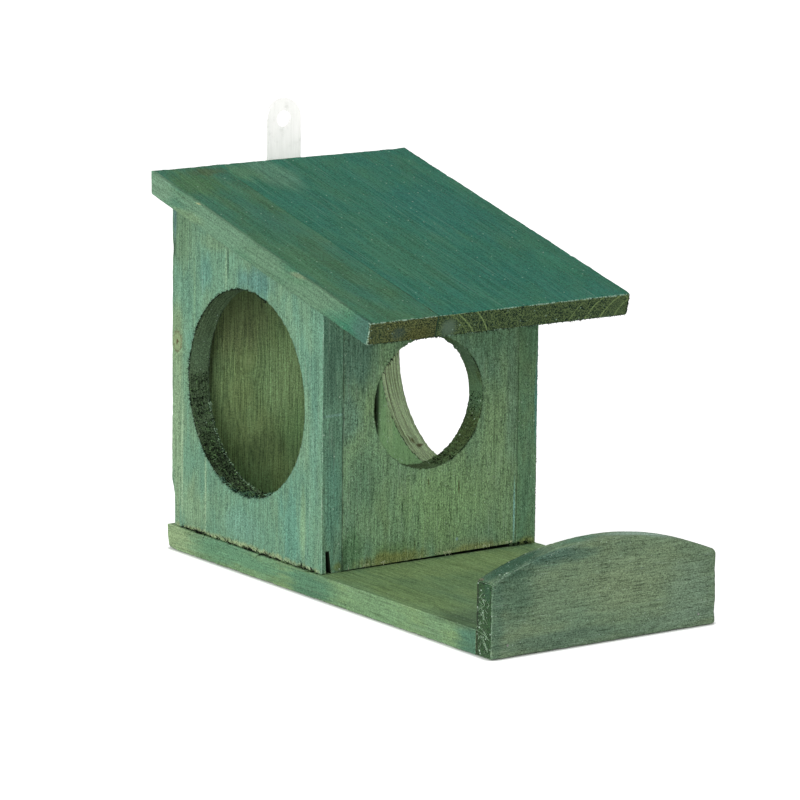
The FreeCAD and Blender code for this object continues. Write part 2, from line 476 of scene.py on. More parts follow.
class Effects:
    """Node groups for grain, arcs, marks, specks, patches, wear and saw cuts, each built once."""

    def group(self, kind: EffectKind) -> Tree:
        """The group of an effect, built by the method of the kind's name where it isn't there yet."""
        return bpy.data.node_groups.get(kind.value) or getattr(self, kind.name.lower())()

    @staticmethod
    def start(kind: EffectKind, inputs: dict[str, str]) -> tuple[Wiring, dict[str, Socket]]:
        """Makes an empty group with its inputs.

        Args:
            kind: the effect.
            inputs: socket kind of each input.

        Returns:
            The group's wiring and its inputs by name.
        """
        tree = bpy.data.node_groups.new(kind.value, "ShaderNodeTree")
        for key, socket in inputs.items():
            tree.interface.new_socket(key, in_out="INPUT", socket_type=socket)
        wires = Wiring(tree)
        return wires, wires.node("NodeGroupInput").outputs

    @staticmethod
    def end(wires: Wiring, masks: dict[str, Socket]) -> Tree:
        """Gives a group its outputs.

        Args:
            wires: the group's wiring.
            masks: what each output hands on.

        Returns:
            The finished group.
        """
        for key in masks:
            wires.tree.interface.new_socket(key, in_out="OUTPUT", socket_type=NUMBER)
        wires.node("NodeGroupOutput", masks)
        return wires.tree

    def figure(self) -> Tree:
        """Growth rings round a pith line, streaks along the grain and one knot that bends both.

        Returns:
            The group: masks Rings, Streaks, Bands, Mottle, Pores, Knot, Knot Rim and Knot Heart from a
            vector with Z along the grain.
        """
        kinds = {"Vector": VECTOR, "Pith": VECTOR, "Ring Spacing": NUMBER,
                 "Knot Place": VECTOR, "Knot Size": NUMBER,
                 "Streak Scale": VECTOR, "Mottle Scale": VECTOR}
        wires, given = self.start(EffectKind.FIGURE, kinds)
        place = given["Vector"]
        slow = wires.stretched(place, (0.03, 0.03, 0.009))
        sway = wires.vector("SUBTRACT", wires.noise(slow, 2.0, out=1), (0.5, 0.5, 0.5))
        place = wires.vector("ADD", place, wires.stretched(sway, (7.0, 7.0, 0.0)))
        beside = wires.vector("SUBTRACT", place, given["Knot Place"])
        reach = wires.stretched(beside, (1.0, 1.0, 0.75))
        gap = wires.math("DIVIDE", wires.length(reach), given["Knot Size"])
        pull = wires.band(gap, 0.0, 3.2, down=True)
        lift = wires.times(wires.times(pull, pull), given["Knot Size"])
        flat = wires.stretched(wires.vector("SUBTRACT", place, given["Pith"]), (1.0, 1.0, 0.0))
        ripple = wires.noise(wires.stretched(place, (0.3, 0.3, 0.03)), 2.0)
        swollen = wires.fitted(lift, 2.2, wires.length(flat))
        count = wires.math("DIVIDE", swollen, given["Ring Spacing"])
        phase = wires.math("FRACT", wires.fitted(ripple, 0.7, count))
        late = wires.times(wires.band(phase, 0.6, 0.9), wires.band(phase, 0.9, 1.0, down=True))
        aside = wires.scaled(reach, wires.times(pull, -0.55))
        flow = wires.vector("ADD", place, aside)
        streaks = wires.noise(wires.stretched(flow, given["Streak Scale"]), 1.5, 0.5)
        bands = wires.noise(wires.stretched(flow, (0.36, 0.36, 0.011)), 2.0, 0.5)
        mottle = wires.noise(wires.stretched(flow, given["Mottle Scale"]), 0.4, 0.6)
        cells = wires.grit(wires.stretched(flow, given["Mottle Scale"]), 1.1)
        pores = wires.band(mottle, 0.34, 0.66)
        fine = wires.fitted(cells, 0.65, wires.times(pores, 0.35))
        core = wires.band(gap, 0.75, 1.0, down=True)
        near = wires.fitted(wires.math("SUBTRACT", mottle, 0.5), 0.5, gap)
        rim = wires.times(wires.band(near, 0.75, 0.93), wires.band(near, 0.95, 1.12, down=True))
        return self.end(wires, {
            "Rings": late, "Streaks": wires.band(streaks, 0.34, 0.66), "Bands": wires.band(bands, 0.3, 0.7),
            "Mottle": fine, "Pores": pores, "Knot": core, "Knot Rim": rim,
            "Knot Heart": wires.band(near, 0.16, 0.32, down=True)})

    def arc(self) -> Tree:
        """Thin line of a growth ring on end grain: close to a circle in X and Z, worn away in places.

        Returns:
            The group with the output Mask.
        """
        kinds = {"Vector": VECTOR, "Centre": VECTOR, "Radius": NUMBER}
        wires, given = self.start(EffectKind.ARC, kinds)
        away = wires.vector("SUBTRACT", given["Vector"], given["Centre"])
        away = wires.stretched(away, (1.0, 0.0, 1.0))
        wobble = wires.noise(wires.scaled(given["Vector"], 0.3), 2.0)
        swayed = wires.fitted(wobble, 0.9, wires.length(away))
        off = wires.math("SUBTRACT", swayed, given["Radius"])
        line = wires.band(wires.math("ABSOLUTE", wires.math("SUBTRACT", off, 0.45)), 0.05, 0.42, down=True)
        whole = wires.band(wires.noise(wires.scaled(given["Vector"], 0.9), 2.0), 0.3, 0.5)
        return self.end(wires, {"Mask": wires.times(line, whole)})

    def marks(self) -> Tree:
        """Short dashes along the grain: stretched noise above a threshold, gathered in clusters.

        Returns:
            The group with the output Mask.
        """
        kinds = {"Vector": VECTOR, "Width": NUMBER, "Length": NUMBER,
                 "Level": NUMBER, "Seed": NUMBER}
        wires, given = self.start(EffectKind.MARKS, kinds)
        across, along = given["Width"], given["Length"]
        size = wires.node("ShaderNodeCombineXYZ", {0: across, 1: across, 2: along})
        moved = wires.vector("ADD", given["Vector"], wires.scaled((131.7, 57.3, 211.9), given["Seed"]))
        cells = wires.vector("DIVIDE", moved, size.outputs[0])
        fine = wires.noise(cells, 1.0, 0.5)
        herd = wires.noise(wires.stretched(cells, (0.16, 0.16, 0.16)), 1.0)
        level = wires.fitted(herd, -0.22, wires.math("ADD", given["Level"], 0.11))
        mask = wires.band(fine, level, wires.math("ADD", level, 0.1))
        return self.end(wires, {"Mask": mask})

    def specks(self) -> Tree:
        """Tiny round flecks: some of the cells of a point pattern, close to their centres.

        Returns:
            The group with the output Mask.
        """
        kinds = {"Vector": VECTOR, "Spacing": NUMBER, "Size": NUMBER}
        wires, given = self.start(EffectKind.SPECKS, kinds)
        spots = wires.scaled(given["Vector"], wires.math("DIVIDE", 1.0, given["Spacing"]))
        cells = wires.node("ShaderNodeTexVoronoi", {"Vector": spots, "Scale": 1.0})
        size = wires.math("DIVIDE", given["Size"], given["Spacing"])
        chosen = wires.node("ShaderNodeSeparateColor", {0: cells.outputs["Color"]})
        own = wires.times(size, wires.math("ADD", chosen.outputs[1], 0.4))
        dot = wires.band(wires.math("DIVIDE", cells.outputs["Distance"], own), 0.55, 1.0, down=True)
        mask = wires.times(dot, wires.band(chosen.outputs[0], 0.35, 0.6))
        return self.end(wires, {"Mask": mask})

    def patch(self) -> Tree:
        """Soft stain round a place: an ellipsoid whose edge frays along the grain.

        Returns:
            The group with the output Mask.
        """
        kinds = {"Vector": VECTOR, "Board": VECTOR, "Centre": VECTOR,
                 "Reach": VECTOR, "Ragged": NUMBER}
        wires, given = self.start(EffectKind.PATCH, kinds)
        away = wires.vector("SUBTRACT", given["Vector"], given["Centre"])
        away = wires.vector("DIVIDE", away, given["Reach"])
        rough = wires.noise(wires.stretched(given["Board"], (0.24, 0.24, 0.04)), 4.0, 0.6)
        uneven = wires.math("SUBTRACT", rough, 0.5)
        gap = wires.fitted(uneven, given["Ragged"], wires.length(away))
        return self.end(wires, {"Mask": wires.band(gap, 0.35, 1.15, down=True)})

    def wear(self) -> Tree:
        """Rubbed edge: near the edge by the mesh's own edge distance, broken up by noise.

        Returns:
            The group with the output Mask.
        """
        kinds = {"Vector": VECTOR, "Width": NUMBER}
        wires, given = self.start(EffectKind.WEAR, kinds)
        gap = wires.mark("edge")
        rough = wires.noise(wires.scaled(given["Vector"], 0.9), 3.0, 0.7)
        slow = wires.noise(wires.scaled(given["Vector"], 0.07), 2.0)
        width = wires.times(given["Width"], wires.fitted(rough, 1.6, 0.1))
        reach = wires.math("MAXIMUM", wires.times(width, wires.band(slow, 0.3, 0.65)), 0.02)
        near = wires.band(wires.math("DIVIDE", gap, reach), 0.35, 1.1, down=True)
        whole = wires.band(wires.noise(wires.scaled(given["Vector"], 1.3), 1.0), 0.42, 0.58)
        return self.end(wires, {"Mask": wires.times(near, whole)})

    def sawn(self) -> Tree:
        """Cut wood: lines that follow the cut and a rough speckle.

        Returns:
            The group: Cut, and Grime And Shade (dirt in joints, painted shade in splits and gaps) from the
                mesh's own values, and the masks Lines and Speckle.
        """
        kinds = {"Vector": VECTOR, "Across": VECTOR}
        wires, given = self.start(EffectKind.SAWN, kinds)
        cut, grime = wires.mark("cut"), wires.mark("grime")
        lines = wires.noise(wires.stretched(given["Vector"], given["Across"]), 3.0, 0.65)
        soft = wires.band(wires.noise(wires.scaled(given["Vector"], 2.3), 0.5, 0.6), 0.36, 0.64)
        cells = wires.grit(wires.scaled(given["Vector"], 3.0), 1.0)
        speckle = wires.fitted(cells, 0.6, wires.times(soft, 0.4))
        return self.end(wires, {"Cut": cut, "Grime": grime, "Lines": wires.band(lines, 0.35, 0.65),
                                "Speckle": wires.band(speckle, 0.32, 0.68)})


class Grain(Enum):
    """Which way a board's fibres run; the value turns that way onto Z, in degrees about X, Y, Z."""

    UPRIGHT = (0.0, 0.0, 0.0)
    DEPTH = (90.0, 0.0, 0.0)
    SLOPE = (76.0, 0.0, 0.0)
    WIDTH = (0.0, -90.0, 0.0)

    def way(self) -> Place:
        """Direction of the fibres in the part's frame."""
        turn = Matrix.Rotation(math.radians(self.value[0]), 3, "X") @ Matrix.Rotation(
            math.radians(self.value[1]), 3, "Y")
        return tuple(turn.inverted() @ Vector((0.0, 0.0, 1.0)))


@dataclass(frozen=True)
class Patch:
    """A stain at one place of a board.

    Attributes:
        centre: place in millimetres.
        reach: half its size along X, Y and Z.
        colour: what the stain turns the wood to.
        strength: share of that colour at its middle.
        ragged: how much noise breaks up its edge.
    """

    centre: Place
    reach: Place
    colour: Colour
    strength: float = 0.7
    ragged: float = 1.2


@dataclass(frozen=True)
class Arc:
    """Part of a growth ring that shows on end grain.

    Attributes:
        centre: middle of its circle, in millimetres; only X and Z count.
        radius: radius of the circle.
        strength: share of the pale colour on the line.
    """

    centre: Place
    radius: float
    strength: float


@dataclass(frozen=True)
class Marks:
    """One kind of short mark along the grain.

    Attributes:
        width: width of a mark in millimetres.
        length: length of a mark.
        level: how rare the marks are, from 0.5 for many to 0.75 for few.
        strength: share of the mark's colour.
    """

    width: float
    length: float
    level: float
    strength: float


KNOT_PARTS = (("Knot", 0.6), ("Knot Rim", 0.65), ("Knot Heart", 0.85))
WOOD_SHINE = 0.12


@dataclass(frozen=True)
class StainedWood:
    """Softwood under a thin green glaze, with its own grain, marks and stains.

    Attributes:
        name: name of the material.
        grain: direction of the fibres.
        base: the glaze.
        cool: bluish drift of the glaze.
        warm: yellowish drift of the glaze.
        drift: strength of the cool and warm drifts.
        texture: strength of broad bands, fine streaks and mottle.
        streak: how fine the streaks are across and along the grain.
        mottle: how fine the mottle is across and along the grain.
        smooth: direction of a planed side with less texture.
        dark: colour of the dark marks.
        pale: colour of the pale streaks, flecks and rubbed edges.
        dash: the long dark marks.
        dot: the short dark marks.
        hair: the pale streaks.
        fleck: spacing, size and strength of the pale flecks.
        pith: place of the pith line in grain directions, in millimetres.
        ring: spacing of the growth rings and their strength on long faces.
        end: dark and light colour of end grain.
        cut: dark and light colour of sawn holes.
        across: how fine the saw lines are along X, Y and Z.
        cut_rough: strength of the speckle in sawn holes.
        wear: width and strength of the rubbed edges.
        grime: colour of dirt in the joints, and of painted shade in the left wall's split and in the gaps
            along the walls' bottom edges.
        knot: place and size of a knot, in grain directions.
        knot_colour: colour of its core, of the rim round it and of its heart.
        patches: stains at given places.
        cut_patches: stains of the sawn holes.
        end_patches: stains of the end grain.
        arcs: growth rings that show on the end grain.
        bump: depth of the grain relief in millimetres.
    """

    name: str
    grain: Grain
    base: Colour
    cool: Colour
    warm: Colour
    drift: float = 0.35
    texture: Place = (0.08, 0.24, 0.8)
    streak: Place = (1.5, 1.5, 0.05)
    mottle: Place = (1.7, 1.7, 1.9)
    smooth: Place = (0.0, 0.0, 0.0)
    dark: Colour = (52, 78, 56)
    pale: Colour = (178, 206, 178)
    dash: Marks = Marks(0.5, 5.0, 0.64, 0.4)
    dot: Marks = Marks(0.45, 1.1, 0.6, 0.5)
    hair: Marks = Marks(0.5, 26.0, 0.68, 0.3)
    fleck: Place = (3.2, 0.3, 0.75)
    pith: Place = (25.0, -40.0, 0.0)
    ring: Pair = (3.4, 0.12)
    end: tuple[Colour, Colour] = ((48, 62, 36), (98, 118, 80))
    cut: tuple[Colour, Colour] = ((62, 84, 50), (128, 154, 112))
    across: Place = (1.9, 0.07, 0.07)
    cut_rough: float = 0.7
    wear: Pair = (0.55, 0.5)
    grime: Colour = (22, 32, 20)
    knot: tuple[Place, float] = ((900.0, 0.0, 0.0), 3.0)
    knot_colour: tuple[Colour, Colour, Colour] = ((112, 118, 74), (96, 96, 58), (60, 44, 30))
    patches: tuple[Patch, ...] = ()
    cut_patches: tuple[Patch, ...] = ()
    end_patches: tuple[Patch, ...] = ()
    arcs: tuple[Arc, ...] = ()
    bump: float = 0.16

    def material(self) -> Material:
        """Wires the finish.

        Returns:
            The finished material.
        """
        made = bpy.data.materials.new(self.name)
        wires = Wiring.blank(made)
        place = wires.place()
        turn = [math.radians(angle) for angle in self.grain.value]
        board = wires.node("ShaderNodeMapping", {"Vector": place, "Rotation": turn}).outputs[0]
        figure = wires.effect(EffectKind.FIGURE, {
            "Vector": board, "Pith": self.pith, "Ring Spacing": self.ring[0],
            "Knot Place": self.knot[0], "Knot Size": self.knot[1],
            "Streak Scale": self.streak, "Mottle Scale": self.mottle})
        marks = {}
        for seed, key in enumerate(("dash", "dot", "hair")):
            form: Marks = getattr(self, key)
            mask = wires.effect(EffectKind.MARKS, {
                "Vector": board, "Width": form.width, "Length": form.length, "Level": form.level,
                "Seed": seed + 1.0})["Mask"]
            marks[key] = wires.times(mask, form.strength)
        flecks = wires.effect(EffectKind.SPECKS, {
            "Vector": place, "Spacing": self.fleck[0], "Size": self.fleck[1]})["Mask"]
        wear = wires.effect(EffectKind.WEAR, {"Vector": place, "Width": self.wear[0]})["Mask"]
        sawn = wires.effect(EffectKind.SAWN, {"Vector": place, "Across": self.across})
        colour = self.glaze(wires, board, place)
        colour = self.textured(wires, colour, figure, marks)
        for (part, strength), target in zip(KNOT_PARTS, self.knot_colour):
            colour = wires.tinted(figure[part], strength, colour, target)
        colour = self.cuts(wires, colour, place, sawn)
        colour = wires.tinted(wear, self.wear[1], colour, self.pale)
        colour = wires.tinted(flecks, self.fleck[2], colour, self.pale)
        # Painted shade in the left wall's split and in the gaps under the walls, and dirt in the joints,
        # all from one share.
        colour = wires.blend(sawn["Grime"], colour, paint(self.grime))
        rough = wires.fitted(figure["Streaks"], -0.14, 0.74)
        rough = wires.fitted(marks["dot"], 0.1, rough)
        wires.finish(self.relief(wires, figure, marks, sawn), self.bump, {
            "Base Color": colour, "Roughness": rough, "Specular IOR Level": WOOD_SHINE})
        return made

    @staticmethod
    def stained(wires: Wiring, colour: Socket, spots: tuple[Socket, Socket],
                patches: tuple[Patch, ...]) -> Socket:
        """Lays stains over a colour, one after the other.

        Args:
            wires: wiring of the material.
            colour: what they go over.
            spots: place in the part's frame, and the place whose Z the edges fray along.
            patches: the stains.

        Returns:
            The colour.
        """
        for patch in patches:
            mask = wires.effect(EffectKind.PATCH, {
                "Vector": spots[0], "Board": spots[1], "Centre": patch.centre, "Reach": patch.reach,
                "Ragged": patch.ragged})["Mask"]
            colour = wires.tinted(mask, patch.strength, colour, patch.colour)
        return colour

    def glaze(self, wires: Wiring, board: Socket, place: Socket) -> Socket:
        """Ground colour: slow cool and warm drifts, and the stains at their places.

        Args:
            wires: wiring of the material.
            board: place with Z along the grain.
            place: place in the part's frame.

        Returns:
            The colour.
        """
        colour = wires.node("ShaderNodeRGB").outputs[0]
        colour.default_value = paint(self.base)
        drifts = ((self.cool, (0.06, 0.06, 0.024), 3.0), (self.warm, (0.08, 0.08, 0.032), 91.0))
        for target, scale, shift in drifts:
            moved = wires.vector("ADD", board, (shift, shift, shift))
            cloud = wires.noise(wires.stretched(moved, scale), 3.0, 0.55)
            colour = wires.tinted(wires.band(cloud, 0.42, 0.66), self.drift, colour, target)
        return self.stained(wires, colour, (place, board), self.patches)

    def textured(self, wires: Wiring, colour: Socket, figure: dict, marks: dict) -> Socket:
        """Bands, streaks and mottle scale the glaze; rings, hairs, dashes and dots go over it.

        Args:
            wires: wiring of the material.
            colour: the glaze.
            figure: outputs of the wood figure.
            marks: masks of the marks.

        Returns:
            The colour.
        """
        rough_share = wires.fitted(wires.band(wires.facing(self.smooth), 0.5, 0.9), -0.65, 1.0)
        swing = -sum(self.texture) / 2.0
        for key, strength in zip(("Bands", "Streaks", "Mottle"), self.texture):
            swing = wires.fitted(figure[key], strength, swing)
        colour = wires.scaled(colour, wires.fitted(swing, rough_share, 1.0))
        colour = wires.tinted(figure["Rings"], self.ring[1], colour, self.dark)
        for key, target in (("hair", self.pale), ("dash", self.dark), ("dot", self.dark)):
            colour = wires.blend(marks[key], colour, paint(target))
        return colour

    def cuts(self, wires: Wiring, colour: Socket, place: Socket, sawn: dict) -> Socket:
        """Turns end grain and sawn holes to their own colours.

        Args:
            wires: wiring of the material.
            colour: colour of the long faces.
            place: place in the part's frame.
            sawn: outputs of the sawn surface.

        Returns:
            The colour.
        """
        ends = wires.band(wires.math("ABSOLUTE", wires.facing(self.grain.way())), 0.55, 0.9)
        fibre = wires.blend(sawn["Speckle"], paint(self.end[0]), paint(self.end[1]))
        coarse = wires.stretched(place, (1.0, 1.0, 4.0))
        fibre = self.stained(wires, fibre, (place, coarse), self.end_patches)
        for arc in self.arcs:
            line = wires.effect(EffectKind.ARC, {
                "Vector": place, "Centre": arc.centre, "Radius": arc.radius})["Mask"]
            glint = wires.scaled(paint(self.end[1])[:3], 2.3)
            fibre = wires.blend(wires.times(line, arc.strength), fibre, glint)
        colour = wires.blend(wires.times(ends, 0.9), colour, fibre)
        hole = wires.blend(sawn["Lines"], paint(self.cut[0]), paint(self.cut[1]))
        hole = self.stained(wires, hole, (place, coarse), self.cut_patches)
        speckle = wires.fitted(sawn["Speckle"], self.cut_rough, 1.0 - self.cut_rough / 2.0)
        return wires.blend(sawn["Cut"], colour, wires.scaled(hole, speckle))

    def relief(self, wires: Wiring, figure: dict, marks: dict, sawn: dict) -> Socket:
        """Height of the grain: soft streaks sink, marks are pits, sawn wood is rough.

        Args:
            wires: wiring of the material.
            figure: outputs of the wood figure.
            marks: masks of the marks.
            sawn: outputs of the sawn surface.

        Returns:
            The height, about 0 to 1.
        """
        height = wires.fitted(figure["Streaks"], 0.35, 0.3)
        height = wires.fitted(figure["Pores"], 0.5, height)
        height = wires.fitted(marks["dash"], -0.8, height)
        height = wires.fitted(marks["dot"], -0.5, height)
        height = wires.fitted(figure["Rings"], 0.15, height)
        rough = wires.times(sawn["Speckle"], wires.fitted(sawn["Cut"], 1.2, 0.15))
        return wires.math("ADD", height, rough)


@dataclass(frozen=True)
class Fibre:
    """Torn fibres: dry wood that took more or less of the stain.

    Attributes:
        name: name of the material.
        dark: colour of the stained ones.
        pale: colour of the dry ones.
        share: share of dry ones.
    """

    name: str
    dark: Colour
    pale: Colour
    share: float

    def material(self) -> Material:
        """Wires the finish.

        Returns:
            The finished material.
        """
        made = bpy.data.materials.new(self.name)
        wires = Wiring.blank(made)
        place = wires.place()
        tone = wires.mark("tone")
        mottle = wires.noise(wires.scaled(place, 1.5), 2.0)
        own = wires.fitted(wires.math("SUBTRACT", mottle, 0.5), 0.4, tone)
        share = wires.band(own, 1.0 - self.share - 0.12, 1.0 - self.share + 0.12)
        colour = wires.blend(share, paint(self.dark), paint(self.pale))
        wires.finish(mottle, 0.1, {
            "Base Color": colour, "Roughness": wires.fitted(mottle, 0.15, 0.75),
            "Specular IOR Level": WOOD_SHINE})
        return made


@dataclass(frozen=True)
class Metal:
    """Bare or plated metal with fine scratches, dull spots and painted shade on the side that faces the
    rear.

    Attributes:
        name: name of the material.
        bright: colour where it is clean.
        dull: colour of the dull spots.
        rough: roughness where it is clean.
        scratch: how fine the scratches are along X, Y and Z.
        rear_shade: painted shade, how much darker it is on the side that faces the rear, away from the
            lamp.
    """

    name: str
    bright: Colour
    dull: Colour
    rough: float
    scratch: Place
    rear_shade: float = 0.0

    def material(self) -> Material:
        """Wires the finish.

        Returns:
            The finished material.
        """
        made = bpy.data.materials.new(self.name)
        wires = Wiring.blank(made)
        place = wires.place()
        drawn = wires.noise(wires.stretched(place, self.scratch), 3.0, 0.6)
        spots = wires.band(wires.noise(wires.scaled(place, 0.22), 4.0, 0.65), 0.55, 0.72)
        colour = wires.tinted(spots, 0.6, paint(self.bright), self.dull)
        colour = wires.tinted(wires.band(drawn, 0.4, 0.7), 0.4, colour, self.dull)
        # Painted shade: the sides that face the rear are darkened.
        facing = wires.node("ShaderNodeNewGeometry").outputs["Normal"]
        rear = wires.band(wires.node("ShaderNodeSeparateXYZ", {0: facing}).outputs[1], 0.3, 0.9)
        colour = wires.scaled(colour, wires.fitted(rear, -self.rear_shade, 1.0))
        rough = wires.fitted(drawn, 0.18, self.rough)
        rough = wires.fitted(spots, 0.15, rough)
        wires.finish(drawn, 0.02, {"Base Color": colour, "Metallic": 1.0, "Roughness": rough})
        return made


def node_box(node: str) -> tuple[Array, Array]:
    """Lowest and highest corner of a CAD node in millimetres."""
    low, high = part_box(node)
    return np.array(low) / MM, np.array(high) / MM


@dataclass
class RoofSlope:
    """The roof's planes, which every wall under it ends at.

    Attributes:
        angle: slope in degrees.
        thickness: thickness of the roof boards.
        rear_y: depth of the roof's plumb rear end.
        rear_z: height of its upper face there.
    """

    angle: float = 14.0
    thickness: float = 10.5
    rear_y: float = 123.5
    rear_z: float = 175.0

    @property
    def tilt(self) -> float:
        """Slope in radians."""
        return math.radians(self.angle)

    def under_z(self, y: Array) -> Array:
        """Height of the lower face above the given depth."""
        fall = math.tan(self.tilt) * (self.rear_y - y)
        return self.rear_z - fall - self.thickness / math.cos(self.tilt)

    def placed(self, local: Array) -> Array:
        """Part's place of a point given across, down the slope, and down into the board.

        Args:
            local: places (across, along, deep), measured from the upper rear edge.

        Returns:
            Places in the part's frame.
        """
        across, along, deep = local.T
        y = self.rear_y - along * math.cos(self.tilt) + deep * math.sin(self.tilt)
        z = self.rear_z - along * math.sin(self.tilt) - deep * math.cos(self.tilt)
        return np.stack([across, y, z], -1)


@dataclass
class Base:
    """Flat board under everything.

    Attributes:
        step: spacing of the grid in millimetres.
        round_over: rounding of its edges.
        worn_corner: extra rounding at the lower rear left corner and its reach.
        nail_reach: radius of the dents round the nail heads.
        nail_depth: depth of those dents.
        nail_inset_rear: side wall nails from the house's rear.
        nail_inset_front: side wall nails from the house's front.
    """

    step: float = 1.5
    round_over: float = 0.6
    worn_corner: Pair = (1.5, 7.0)
    nail_reach: float = 2.1
    nail_depth: float = 0.5
    nail_inset_rear: float = 20.0
    nail_inset_front: float = 22.0

    def nail_places(self) -> list[Place]:
        """Places of the nail heads, from the walls that the nails go into.

        Returns:
            The middle of each head on the board's underside.
        """
        left, right = node_box("left_wall"), node_box("right_wall")
        front, back = node_box("front_wall"), node_box("back_wall")
        places = [(0.0, (front[0][1] + front[1][1]) / 2, 0.0), (0.0, (back[0][1] + back[1][1]) / 2, 0.0)]
        for low, high in (left, right):
            middle = (low[0] + high[0]) / 2
            places.append((middle, low[1] + self.nail_inset_front, 0.0))
            places.append((middle, high[1] - self.nail_inset_rear, 0.0))
        return places

    def shell(self) -> Shell:
        """Block grid with worn edges, one rubbed corner and dents round the nails.

        Returns:
            The board's surface.
        """
        low, high = node_box("base_board")
        nails = self.nail_places()
        size = high - low
        columns = sorted({n[0] - low[0] for n in nails})
        xs = low[0] + stations(size[0], self.step, self.round_over, columns)
        front = node_box("front_wall")
        lines = {n[1] for n in nails} | {front[0][1]}
        rows = sorted(line - low[1] for line in lines)
        ys = low[1] + stations(size[1], self.step, self.round_over, rows)
        zs = low[2] + stations(size[2], 1.2, self.round_over)
        points, quads = block_grid(xs, ys, zs)
        edge = edge_gap(points, low, high)
        radius = worn_radius(points, self.round_over, 11)
        corner = norms(points - [low[0], high[1], low[2]])
        radius += self.worn_corner[0] * rise(corner, self.worn_corner[1], 0.0)
        points, away = eased(points, low, high, radius)
        points = weathered(points, away, 12)
        points = dented(points, away, nails, self.nail_reach, self.nail_depth)
        # Painted shade: the base's top under the front wall is darkened, so the gap below that wall reads
        # dark.
        into = np.minimum(points[:, 1] - front[0][1] - 0.6, front[1][1] - points[:, 1])
        on_top = points[:, 2] > high[2] - 2.0
        into = np.where(on_top & (np.abs(points[:, 0]) < front[1][0]), into, -1.0)
        return Shell(points, [quads], board_marks(edge, grime=rise(into, 0.0, 0.5)))


@dataclass
class Lip:
    """Board on the front end of the base, its top cut to an arch.

    Attributes:
        step: spacing of the grid.
        round_over: rounding of its edges.
        side_height: height where the arch starts.
        pin_height: height of the two pins.
        pin_inset: distance of the pins from the sides.
    """

    step: float = 1.0
    round_over: float = 1.0
    side_height: float = 32.5
    pin_height: float = 5.2
    pin_inset: float = 9.0

    def top(self, x: Array, apex: float, half: float) -> Array:
        """Height of the arch: a circle through both shoulders and the apex."""
        climb = apex - self.side_height
        radius = (half * half + climb * climb) / (2.0 * climb)
        return apex - radius + np.sqrt(radius * radius - x * x)

    def shell(self) -> Shell:
        """Block grid whose upper layer follows the arch.

        Returns:
            The board's surface.
        """
        low, high = node_box("lip_board")
        half = (high[0] - low[0]) / 2.0
        pins = (self.pin_inset, 2.0 * half - self.pin_inset)
        xs = low[0] + stations(2.0 * half, self.step, self.round_over, pins)
        ys = low[1] + stations(high[1] - low[1], 1.2, self.round_over)
        zs = stations(high[2], self.step, self.round_over, (self.pin_height,))
        points, quads = block_grid(xs, ys, zs)
        top = self.top(points[:, 0], high[2], half)
        straight = self.side_height / 3.0
        stretch = (top - straight) / (high[2] - straight)
        above = np.clip(points[:, 2] - straight, 0.0, None)
        points[:, 2] += above * (stretch - 1.0)
        ceiling = np.stack([np.full_like(top, high[0]), np.full_like(top, high[1]), top], -1)
        edge = edge_gap(points, low, ceiling)
        radius = worn_radius(points, self.round_over, 21)
        points, away = eased(points, low, ceiling, radius)
        points = weathered(points, away, 22)
        pin_places = [(low[0] + pin, low[1], self.pin_height) for pin in pins]
        points = dented(points, away, pin_places, 0.7, 0.5)
        return Shell(points, [quads], board_marks(edge))


